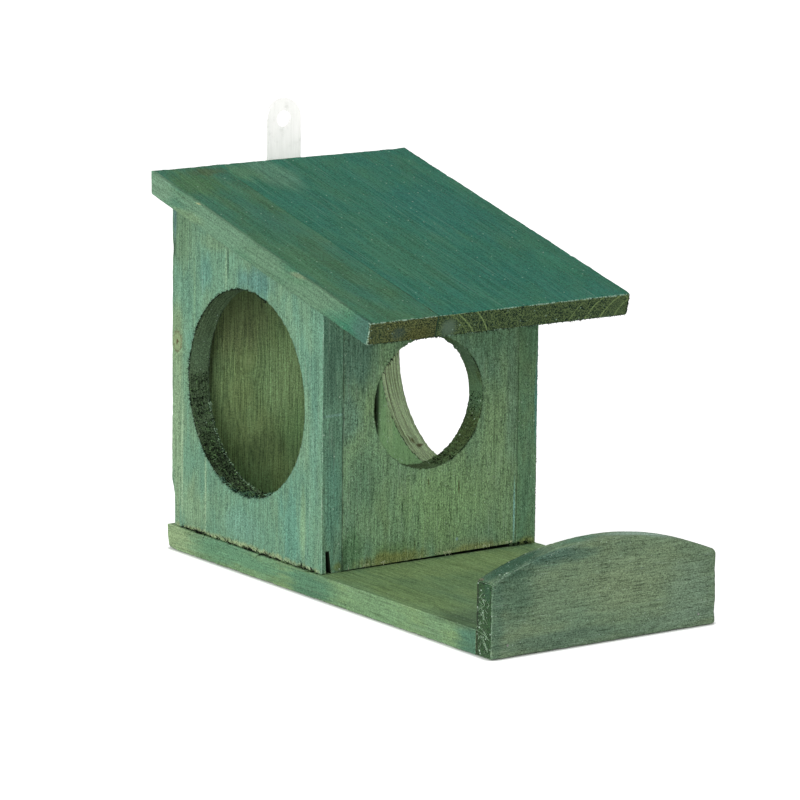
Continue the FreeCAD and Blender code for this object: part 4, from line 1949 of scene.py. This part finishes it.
@dataclass(frozen=True)
class CameraView:
    """The photograph's camera, as it was fitted to measured edges.

    Attributes:
        target: point that it turns about, in metres.
        azimuth: degrees round the object.
        elevation: degrees above the horizon.
        roll: degrees about its own axis.
        distance: from the target, in metres.
        slide: shift to the right and up, in metres.
        lens: focal length on a 36 mm sensor.
    """

    target: Place = (0.0, 0.005, 0.080)
    azimuth: float = -35.407
    elevation: float = 11.288
    roll: float = 0.6446
    distance: float = 2.1753
    slide: Pair = (-0.01262, 0.00241)
    lens: float = 221.58

    def place(self) -> None:
        """Makes the camera and the view settings."""
        a, e, roll = (math.radians(v) for v in (self.azimuth, self.elevation, self.roll))
        back = Vector((math.sin(a) * math.cos(e), -math.cos(a) * math.cos(e), math.sin(e)))
        level = Vector((math.cos(a), math.sin(a), 0.0))
        up = back.cross(level)
        right = math.cos(roll) * level + math.sin(roll) * up
        up = -math.sin(roll) * level + math.cos(roll) * up
        data = bpy.data.cameras.new("camera")
        data.sensor_width, data.lens = 36.0, self.lens
        data.clip_start, data.clip_end = 0.05, 50.0
        camera = bpy.data.objects.new("camera", data)
        camera.rotation_mode = "QUATERNION"
        camera.rotation_quaternion = Matrix((right, up, back)).transposed().to_quaternion()
        camera.location = (Vector(self.target) + right * self.slide[0] + up * self.slide[1]
                           + back * self.distance)
        bpy.context.scene.collection.objects.link(camera)
        bpy.context.scene.camera = camera
        bpy.context.scene.view_settings.view_transform = "Standard"


STIPPLE = Marks(0.6, 0.9, 0.57, 0.5)

LEFT_WOOD = StainedWood(
    "left_wall_wood", Grain.UPRIGHT, (111, 152, 125), (103, 152, 132), (131, 160, 122),
    drift=0.4, texture=(0.08, 0.36, 0.92), streak=(1.4, 1.7, 0.055), mottle=(2.8, 2.1, 1.9),
    dark=(48, 84, 66), pale=(190, 216, 194),
    dash=Marks(0.6, 4, 0.64, 0.35), dot=Marks(0.6, 1, 0.59, 0.5), hair=Marks(0.7, 30, 0.66, 0.25),
    fleck=(2.7, 0.36, 0.75), pith=(-25, 70, 0), ring=(4.2, 0.06), wear=(0.5, 0.6),
    cut=((74, 94, 66), (118, 144, 108)), knot=((-58.5, 119, 96.5), 3.6),
    knot_colour=((146, 164, 118), (106, 96, 66), (84, 62, 40)),
    patches=(
        Patch((-58.5, 117, 146), (9, 13, 20), (104, 136, 104), 0.9),
        Patch((-58.5, 119, 60), (9, 7, 58), (142, 170, 132), 0.85),
        Patch((-58.5, 120, 100), (9, 8, 18), (130, 156, 114)),
        Patch((-58.5, 106, 20), (9, 13, 18), (144, 170, 128), 0.5),
        Patch((-58.5, 88, 146), (9, 16, 5), (122, 152, 116), 0.6),
        Patch((-58.5, 96, 132), (9, 7, 10), (100, 149, 132), 0.8),
        Patch((-58.5, 55, 133), (9, 18, 7), (92, 138, 128), 0.75),
        Patch((-58.5, 9, 98), (9, 6, 18), (94, 134, 114)),
        Patch((-58.5, 9, 66), (9, 5, 26), (102, 146, 126), 0.6),
        Patch((-58.5, 27, 27), (9, 9, 24), (97, 152, 134), 0.65, 1.8),
        Patch((-58.5, 66, 21), (9, 20, 9), (118, 162, 140)),
        Patch((-58.5, 17, 30), (9, 3, 20), (134, 168, 128), 0.7, 1.6),
        Patch((-58.5, 60, 11.6), (9, 80, 2.2), (170, 184, 132), 0.6, 2.4),
        Patch((-58.5, 114.8, 44), (3, 0.9, 40), (166, 196, 158), 0.75, 0.2),
        Patch((-58.5, 95.5, 30), (3, 0.9, 26), (162, 190, 152), 0.6, 0.3),
        Patch((-58.5, 105, 122), (3, 1.2, 24), (136, 174, 134), 0.45, 0.3),
        Patch((-58.5, 79.3, 136), (3, 0.9, 13), (150, 184, 148), 0.65, 0.3),
        Patch((-58.5, 77.7, 138), (3, 0.7, 9), (52, 80, 56), 0.85, 0.3),
        Patch((-58.5, 121.6, 139), (3, 1, 6), (40, 58, 44), 0.8, 0.5),
        Patch((-58.5, 121.4, 152), (3, 1.8, 12), (84, 120, 120), 0.7, 0.6),
        Patch((-53, 2.5, 104), (5.5, 3, 22), (92, 128, 106), 0.8),
        Patch((-53, 2.5, 44), (5.5, 3, 26), (106, 158, 136)),
        Patch((-50, 2.5, 13.5), (3, 3, 3), (116, 128, 66)),
        Patch((-52, 2.5, 81.5), (7, 3, 0.8), (150, 190, 180), 0.45, 0.5),
    ),
    cut_patches=(
        Patch((-53, 94, 46), (9, 16, 24), (66, 86, 58), 0.8),
        Patch((-53, 108, 92), (9, 9, 12), (112, 140, 106), 0.9),
        Patch((-57, 64, 35), (6, 12, 6), (84, 132, 104), 0.8),
    ))
RIGHT_WOOD = StainedWood(
    "right_wall_wood", Grain.UPRIGHT, (116, 153, 112), (106, 156, 132), (138, 160, 110),
    texture=(0.1, 0.38, 1.1), smooth=(-1, 0, 0), streak=(2.3, 2.3, 0.05), mottle=(3, 3, 1.8),
    dark=(50, 74, 50), pale=(190, 216, 190), dot=STIPPLE,
    fleck=(2.3, 0.42, 0.85), pith=(95, 20, 0), ring=(3.6, 0.08),
    cut=((150, 172, 124), (226, 252, 202)), across=(2.4, 0.05, 0.05), cut_rough=0.35, wear=(0.5, 0.25),
    patches=(
        Patch((47.5, 80, 55), (4, 50, 50), (150, 192, 138), 0.9),
        Patch((47.5, 102, 62), (4, 4, 26), (172, 200, 150)),
        Patch((47.5, 100, 98), (4, 20, 12), (104, 146, 100), 0.8),
        # Painted shadow: dark strip in the inner corner where the back wall meets this wall.
        Patch((47.5, 113, 80), (1, 3.6, 120), (26, 36, 20), 0.95, 0.2),
        Patch((58, 2.5, 78), (1.6, 3, 26), (100, 166, 158), 0.7, 0.7),
        Patch((53, 2.5, 120), (7, 3, 22), (100, 140, 106)),
        Patch((53, 2.5, 12), (7, 3, 3), (140, 152, 88), 0.8),
    ),
    cut_patches=(
        Patch((54, 86.6, 42.2), (2.4, 1.2, 2), (84, 72, 40), 0.85, 1.4),
        Patch((52.2, 89, 43.6), (0.9, 3.4, 2), (92, 80, 46), 0.85, 1),
        Patch((51, 90, 44), (0.5, 6, 3), (104, 104, 70), 0.8, 0.5),
        Patch((49.6, 96, 62), (0.45, 30, 30), (92, 104, 70), 0.7, 0.9),
    ))
FRONT_WOOD = StainedWood(
    "front_wall_wood", Grain.UPRIGHT, (137, 173, 132), (117, 163, 144), (153, 179, 121),
    texture=(0.08, 0.42, 1.1), streak=(2.5, 2.5, 0.05), mottle=(3.1, 3.1, 1.8),
    dark=(44, 66, 44), pale=(200, 224, 196),
    dash=Marks(0.5, 5, 0.62, 0.5), dot=STIPPLE, hair=Marks(0.5, 24, 0.62, 0.25), fleck=(2.2, 0.42, 0.9),
    pith=(10, 60, 0), ring=(5, 0.1), across=(0.05, 2, 0.05),
    cut=((84, 106, 64), (120, 148, 104)), wear=(0.5, 0.1),
    patches=(
        Patch((-41, 2.5, 108), (14, 9, 24), (94, 132, 113), 0.85, 0.7),
        Patch((-44, 2.5, 80), (8, 9, 14), (106, 148, 134), 0.55, 0.7),
        Patch((-36, 2.5, 50), (12, 9, 18), (116, 155, 122)),
        Patch((-43, 2.5, 20), (9, 9, 13), (106, 146, 104), 0.8),
        Patch((-46.5, 2.5, 17), (2.4, 9, 11), (80, 112, 80), 0.75, 0.8),
        Patch((22, 2.5, 15), (20, 9, 4), (140, 162, 122), 0.6),
        Patch((8, 2.5, 37), (28, 9, 20), (152, 188, 134), 0.85),
        Patch((32, 2.5, 55), (9, 9, 30), (148, 180, 130)),
        Patch((44, 2.5, 80), (4, 9, 40), (122, 156, 126)),
        Patch((42, 2.5, 30), (7, 9, 22), (140, 172, 126)),
        Patch((33, 2.5, 106), (16, 9, 10), (122, 164, 128)),
        Patch((-20, 2.5, 16), (14, 9, 6), (116, 146, 94), 0.6),
        Patch((-20, 2.5, 13), (24, 9, 4.6), (144, 146, 80), 0.65, 1.6),
        Patch((24, 2.5, 12.6), (20, 9, 3), (150, 152, 90), 0.6, 1.6),
        Patch((46.2, 2.5, 28), (0.7, 3, 17), (150, 205, 200), 0.75, 0.8),
        Patch((-15.3, 2.5, 36.3), (0.35, 3, 4), (40, 58, 40), 0.8, 0.5),
        Patch((15.4, 2.5, 41.8), (0.5, 3, 4.5), (78, 76, 40), 0.85, 0.5),
        Patch((14.5, 2.5, 31.4), (0.35, 3, 4.5), (44, 60, 38), 0.8, 0.5),
        Patch((-1.2, 2.5, 46), (0.5, 3, 2.6), (82, 84, 46), 0.8, 0.5),
        Patch((-8.3, 2.5, 18.7), (0.35, 3, 4), (56, 64, 36), 0.8, 0.5),
        Patch((14.7, 2.5, 18.2), (0.9, 3, 1), (150, 180, 196), 0.7, 0.5),
    ),
    cut_patches=(
        Patch((24, 8, 66), (14, 9, 18), (84, 102, 60), 0.8),
        Patch((22, 8, 102), (14, 9, 14), (104, 136, 108), 0.8),
        Patch((29, 8, 82), (6, 9, 12), (112, 150, 112), 0.8),
    ))
BACK_WOOD = StainedWood(
    "back_wall_wood", Grain.UPRIGHT, (142, 172, 118), (124, 160, 112), (158, 176, 114),
    texture=(0.06, 0.66, 0.7), streak=(2.6, 2.6, 0.035), dark=(62, 74, 42), pale=(190, 212, 160),
    dash=Marks(0.4, 8, 0.64, 0.6), dot=Marks(0.45, 2, 0.62, 0.3), fleck=(6, 0.25, 0.5),
    pith=(-8, 160, 0), ring=(4.4, 0.14), knot=((-24, 112.5, 85), 4),
    knot_colour=((152, 178, 120), (126, 150, 98), (168, 190, 132)),
    patches=(
        Patch((-4, 112.5, 74), (16, 9, 22), (164, 198, 140)),
        Patch((-30, 112.5, 104), (22, 9, 22), (130, 142, 98)),
        # Painted shade: darker at the left end of the inner face, where the left wall shades it.
        Patch((-46, 112.5, 96), (7, 9, 34), (84, 100, 64), 0.85),
        Patch((-12, 112.5, 44), (22, 9, 9), (112, 134, 90)),
        Patch((2, 112.5, 52), (12, 9, 16), (126, 162, 110), 0.6),
        # Painted shadow: dark right end of the inner face, where the right wall shades it.
        Patch((47.5, 112.5, 76), (11, 6, 60), (34, 48, 26), 0.97, 0.3),
    ))
BASE_WOOD = StainedWood(
    "base_wood", Grain.DEPTH, (124, 154, 108), (104, 148, 118), (136, 162, 108),
    drift=0.3, texture=(0.14, 0.22, 0.85), streak=(0.8, 1.5, 0.05), mottle=(1.6, 2, 1.5),
    dark=(62, 84, 50), pale=(184, 208, 176),
    dash=Marks(0.6, 12, 0.65, 0.4), dot=Marks(0.5, 0.9, 0.64, 0.4), hair=Marks(0.5, 30, 0.66, 0.15),
    fleck=(2.9, 0.36, 0.75), pith=(20, 45, 0), ring=(4, 0.12), wear=(0.5, 0.4),
    patches=(
        Patch((-60, 118, 6), (3, 28, 9), (150, 174, 130), 0.9, 1.8),
        Patch((-60, 68, 7), (3, 46, 9), (100, 145, 113), 0.9, 1.8),
        Patch((-60, 8, 5), (3, 24, 7), (88, 132, 104), 0.9, 1.8),
        Patch((-60, -40, 6), (3, 34, 9), (118, 152, 112), 0.85, 1.8),
        Patch((-60, -84, 6), (3, 16, 9), (114, 148, 112), 0.7, 1.8),
        Patch((-60, -113, 5), (3, 16, 9), (82, 122, 100), 0.95, 1.6),
        Patch((6, -12, 11), (60, 20, 3), (148, 174, 118), 0.75),
        # Painted shade: the top is darker and bluer next to the lip, which shades it.
        Patch((-24, -98, 11), (40, 22, 3), (100, 128, 100), 0.8),
        Patch((-54, -98, 11), (9, 22, 3), (82, 108, 80), 0.8),
        Patch((-46, -50, 11), (14, 40, 3), (128, 156, 102)),
    ))
LIP_WOOD = StainedWood(
    "lip_wood", Grain.WIDTH, (133, 159, 126), (114, 147, 124), (146, 164, 122),
    drift=0.4, texture=(0.06, 0.3, 0.88), streak=(2.5, 2.5, 0.06), mottle=(3.1, 3.1, 1.6),
    dark=(46, 64, 42), pale=(200, 224, 204),
    dash=Marks(0.4, 9, 0.61, 0.65), dot=STIPPLE, hair=Marks(0.5, 12, 0.66, 0.3), fleck=(2.2, 0.42, 0.9),
    pith=(-15, -90, 0), ring=(5, 0.05), end=((5, 16, 7), (64, 103, 61)), wear=(0.5, 0.3),
    end_patches=(
        Patch((-60, -114.6, 16), (3, 1.3, 60), (22, 28, 16), 0.9, 1.2),
        Patch((-60, -121.5, 29), (3, 3.4, 5), (52, 96, 78), 0.35, 1.6),
        Patch((-60, -118, 6), (3, 5, 7), (34, 66, 32), 0.25),
    ),
    patches=(
        Patch((-48, -125, 28), (14, 3, 16), (102, 134, 108), 0.85),
        Patch((-20, -125, 4), (45, 3, 5), (112, 142, 120)),
        Patch((16, -125, 24), (34, 3, 18), (152, 174, 136), 0.65),
        Patch((46, -125, 16), (16, 3, 20), (140, 168, 142), 0.6),
        Patch((-30, -125, 41), (26, 3, 4.5), (90, 126, 110), 0.8),
        Patch((-57.5, -125, 16), (4.5, 3, 22), (100, 134, 110)),
        Patch((40, -125, 5), (28, 3, 6), (140, 168, 142), 0.6),
        Patch((-48, -118.5, 37.5), (30, 8.5, 10), (62, 98, 78), 0.95, 0.8),
        Patch((-59, -116, 32.8), (1.4, 2, 1.2), (136, 110, 98), 0.5, 0.8),
        Patch((-12, -118.5, 45.5), (16, 7, 4), (104, 148, 122), 0.8),
        Patch((24, -118.5, 44), (24, 6.4, 5), (128, 160, 140), 0.6),
        Patch((-42, -114.6, 37), (30, 1, 9), (44, 62, 36), 0.8, 1.2),
        # Painted highlight: pale right half of the arch's top.
        Patch((28, -119.5, 44), (26, 5.3, 6.4), (186, 218, 196), 0.85),
    ))
ROOF_LEFT_WOOD = StainedWood(
    "roof_left_wood", Grain.SLOPE, (64, 120, 91), (56, 118, 100), (78, 118, 78),
    drift=0.5, texture=(0.14, 0.17, 0.85), streak=(1.2, 1.2, 0.04), mottle=(1.9, 1.9, 1.7),
    dark=(40, 74, 54), pale=(178, 212, 190),
    dash=Marks(0.6, 10, 0.67, 0.35), dot=Marks(0.6, 0.9, 0.64, 0.4), hair=Marks(0.45, 40, 0.66, 0.18),
    fleck=(3.1, 0.38, 0.6), pith=(-52, -118, 0), ring=(4.5, 0.04),
    end=((4, 9, 1), (124, 130, 78)), wear=(1, 0.75), grime=(52, 56, 34),
    patches=(
        Patch((-70, 66, 160), (2.5, 56, 20), (107, 143, 115), 0.95, 0.8),
        Patch((-70, 118, 168), (2.5, 18, 12), (118, 152, 124), 0.9, 0.8),
        Patch((-70, -4, 138), (2.5, 36, 12), (100, 134, 106), 0.95, 0.8),
        Patch((-70, 30, 148), (2.5, 24, 12), (100, 134, 106), 0.95, 0.8),
        Patch((-70, -46, 128), (2.5, 13, 9), (70, 108, 94), 0.95, 0.8),
        Patch((-70, 96, 158), (2.5, 18, 4), (120, 150, 112)),
        Patch((-56, 104, 172), (14, 18, 9), (80, 124, 80), 0.8, 1.8),
        Patch((-62, 10, 148), (8, 50, 13), (76, 125, 87), 0.7, 1.8),
        Patch((-46, 60, 160), (8, 26, 9), (61, 116, 95), 0.7, 1.8),
        Patch((-46, 20, 149), (5, 40, 11), (60, 104, 72), 0.5, 2.2),
        Patch((-44, 116, 174), (14, 6, 3), (80, 106, 68), 0.8),
        Patch((-69.8, 84, 165.2), (0.8, 3.6, 0.5), (196, 200, 148), 0.7, 0.5),
        Patch((-70, 4, 144.8), (1, 9, 1.6), (140, 144, 112), 0.4, 0.8),
    ),
    end_patches=(
        Patch((-66, -48, 127), (7, 9, 9), (60, 78, 52), 0.25),
        Patch((-43, -48, 124), (9, 9, 5), (92, 84, 30), 0.3),
        Patch((-53.9, -47.6, 125.9), (4.6, 3, 3.8), (66, 84, 80), 0.55, 0.9),
    ))
ROOF_RIGHT_WOOD = replace(
    ROOF_LEFT_WOOD, name="roof_right_wood", base=(51, 119, 96), cool=(42, 115, 99), warm=(64, 121, 88),
    dark=(30, 70, 56), pale=(178, 214, 192), hair=Marks(0.45, 40, 0.65, 0.18),
    pith=(19, -150, 0), ring=(7, 0.04), end=((3, 9, 2), (112, 130, 80)), wear=(1, 0.8),
    patches=(
        Patch((-14, 110, 171), (13, 26, 12), (112, 156, 128), 0.55, 0.9),
        Patch((-28, 112, 173), (9, 14, 6), (88, 136, 100), 0.8, 1.8),
        Patch((40, 50, 158), (26, 50, 15), (43, 116, 101), 0.7, 2),
        Patch((16, -20, 140), (24, 24, 9), (42, 114, 97), 0.7, 2),
        Patch((-18, 10, 147), (14, 50, 13), (66, 125, 94), 0.7, 1.8),
        Patch((56, -14, 141), (9, 18, 7), (56, 126, 98), 0.7, 1.8),
        Patch((-6, 4, 146), (3, 46, 13), (54, 106, 76), 0.5, 2.2),
    ),
    end_patches=(
        Patch((-27.6, -48, 125.2), (5.2, 3, 5.2), (106, 126, 106), 0.85, 0.3),
        Patch((64, -48.5, 127), (8, 9, 9), (104, 122, 80), 0.3),
    ),
    arcs=(
        Arc((-46.7, 0, 97.7), 41.1, 0.75), Arc((-38.3, 0, 106.4), 35.5, 0.75),
        Arc((-50, 0, 97.7), 41.1, 0.4), Arc((64.5, 0, 114), 20, 0.75),
        Arc((72.6, 0, 113.3), 20, 0.75), Arc((80, 0, 112.8), 20, 0.6),
        Arc((56, 0, 114.4), 20, 0.5),
    ))
BOARD_FINISHES = {
    "base_board": (BASE_WOOD, "base_wood"), "lip_board": (LIP_WOOD, "lip_wood"),
    "roof_board_left": (ROOF_LEFT_WOOD, "roof_wood"), "roof_board_right": (ROOF_RIGHT_WOOD, "roof_wood"),
    "left_wall": (LEFT_WOOD, "side_wood"), "right_wall": (RIGHT_WOOD, "side_wood"),
    "front_wall": (FRONT_WOOD, "front_wood"), "back_wall": (BACK_WOOD, "front_wood"),
}
STRAP_METAL = Metal("strap_zinc", (252, 252, 248), (238, 238, 233), 0.24, (3, 3, 0.12), 0.5)
PIN_STEEL = Metal("fastener_zinc", (168, 168, 164), (92, 92, 88), 0.38, (2, 2, 2))
DARK_FIBRE = Fibre("torn_fibre_dark", (16, 28, 16), (96, 124, 84), 0.15)
HOLE_FIBRE = Fibre("torn_fibre_hole", (8, 20, 9), (128, 168, 112), 0.24)
PALE_FIBRE = Fibre("torn_fibre_pale", (140, 158, 108), (216, 224, 186), 0.7)
MINT_FIBRE = Fibre("torn_fibre_mint", (76, 112, 80), (192, 224, 190), 0.6)
TEAL_FIBRE = Fibre("torn_fibre_teal", (20, 52, 38), (140, 188, 160), 0.35)
FOOT_CLUMPS = (0.05, 0.12, 0.29, 0.37, 0.47, 0.5, 0.63, 0.82, 0.86, 0.9, 0.95)

EDGE_FUZZ = (
    (Tuft("left_foot_fuzz", DARK_FIBRE, "side_wood", 370, (0.7, 4.6), 0.27, (-0.5, 0, 0.6), 0.9, 0, 901,
          FOOT_CLUMPS),
     (-58.4, 5, 11.1), (-58.4, 116.5, 11.1), (0, 0, 0.4)),
    (Tuft("left_foot_splinters", PALE_FIBRE, "side_wood", 130, (0.5, 2), 0.15, (-0.35, 0, 1.3), 0.3, 0, 902,
          FOOT_CLUMPS),
     (-58.5, 5, 11.4), (-58.5, 118, 11.4), (0, 0, 0.8)),
    (Tuft("front_foot_fuzz", PALE_FIBRE, "front_wood", 110, (0.5, 1.9), 0.22, (0, -0.2, -1), 0.35, 9, 903),
     (-46, 2.6, 12.3), (46, 2.6, 13.2), (0, 0, 0.6)),
    (Tuft("right_foot_fuzz", DARK_FIBRE, "side_wood", 110, (0.5, 2.2), 0.24, (0, -0.9, 0.3), 0.8, 3, 904),
     (43, 2.6, 11.3), (58, 2.6, 11.3), (0, 0, 1.2)),
    (Tuft("right_edge_fuzz", DARK_FIBRE, "side_wood", 150, (0.2, 0.9), 0.2, (0.6, -0.4, 0), 0.5, 0, 905),
     (58.3, 2.8, 12), (58.3, 2.8, 130), (0, 0, 0)),
    (Tuft("roof_end_fuzz", DARK_FIBRE, "roof_wood", 300, (0.3, 1.3), 0.22, (0, -0.3, -0.8), 0.5, 0, 906),
     (-69, -46.6, 122.2), (69, -46.6, 122.2), (0, 0, 0.1)),
    (Tuft("roof_corner_fuzz", DARK_FIBRE, "roof_wood", 70, (0.2, 0.7), 0.24, (0.7, -0.4, 0), 0.4, 0, 909),
     (69.1, -46.9, 123), (69.1, -48.8, 130.5), (0, 0, 0)),
    (Tuft("lip_end_scratches", MINT_FIBRE, "lip_wood", 52, (1.2, 7), 0.12, (-0.1, 0.6, 0.75), 0.12, 0, 907),
     (-59.95, -124.4, 1), (-59.95, -124.4, 26), (0, 6, 2)),
    (Tuft("lip_end_scratches_back", MINT_FIBRE, "lip_wood", 52, (1.2, 6.5), 0.12, (-0.1, -0.62, 0.7), 0.12,
          0, 910),
     (-59.95, -120.5, 1), (-59.95, -120.5, 26), (0, 5.6, 2)),
    (Tuft("lip_rim_specks", MINT_FIBRE, "lip_wood", 60, (0.2, 0.7), 0.2, (0, -0.1, 0.7), 0.8, 9, 911),
     (-54, -124.3, 35.2), (-14, -124.3, 43.9), (0, 0, 0.6)),
    (Tuft("lip_arch_fuzz", DARK_FIBRE, "lip_wood", 110, (0.3, 1), 0.2, (0.2, 0.6, 0.7), 0.5, 0, 908),
     (34, -123.6, 40.6), (59.4, -123.6, 32.4), (0, 0, 0)),
)


def main() -> None:
    """Builds the boards, dresses the CAD nodes that stay, and sets light, floor and camera."""
    logging.basicConfig(level=logging.INFO, format="%(message)s")
    slope = RoofSlope()
    house = House(slope)
    lip = Lip()
    shells = {
        "base_board": Base().shell(), "lip_board": lip.shell(),
        "roof_board_left": RoofBoard("roof_board_left", slope, True, 51, nicks=((1.2, 38.0, 3.0),)).shell(),
        "roof_board_right": RoofBoard("roof_board_right", slope, False, 61).shell(),
        **house.walls(),
    }
    for node, shell in shells.items():
        finish, slot = BOARD_FINISHES[node]
        made = shell.piece(node + "_wood", finish.material())
        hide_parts(node)
    steel = PIN_STEEL.material()
    strap = STRAP_METAL.material()
    for node in ("hanger_strap", "hanger_screws", "base_nails"):
        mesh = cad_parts[node].data
        mesh.materials.clear()
        mesh.materials.append(strap if node == "hanger_strap" else steel)
        LOG.info("%s: dressed", node)
    pins = Pins()
    for node, places in pins.places(slope, lip).items():
        made = pins.group(places).piece(node + "_steel", steel)
        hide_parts(node)
    house.fuzz()
    for tuft, start, end, wander in EDGE_FUZZ:
        tuft.on_line(start, end, wander)
    surroundings()
    key_lamp((CAD_BOX[0] + CAD_BOX[1]) / 2.0)
    floor()
    CameraView().place()


if __name__ == "__main__":
    main()
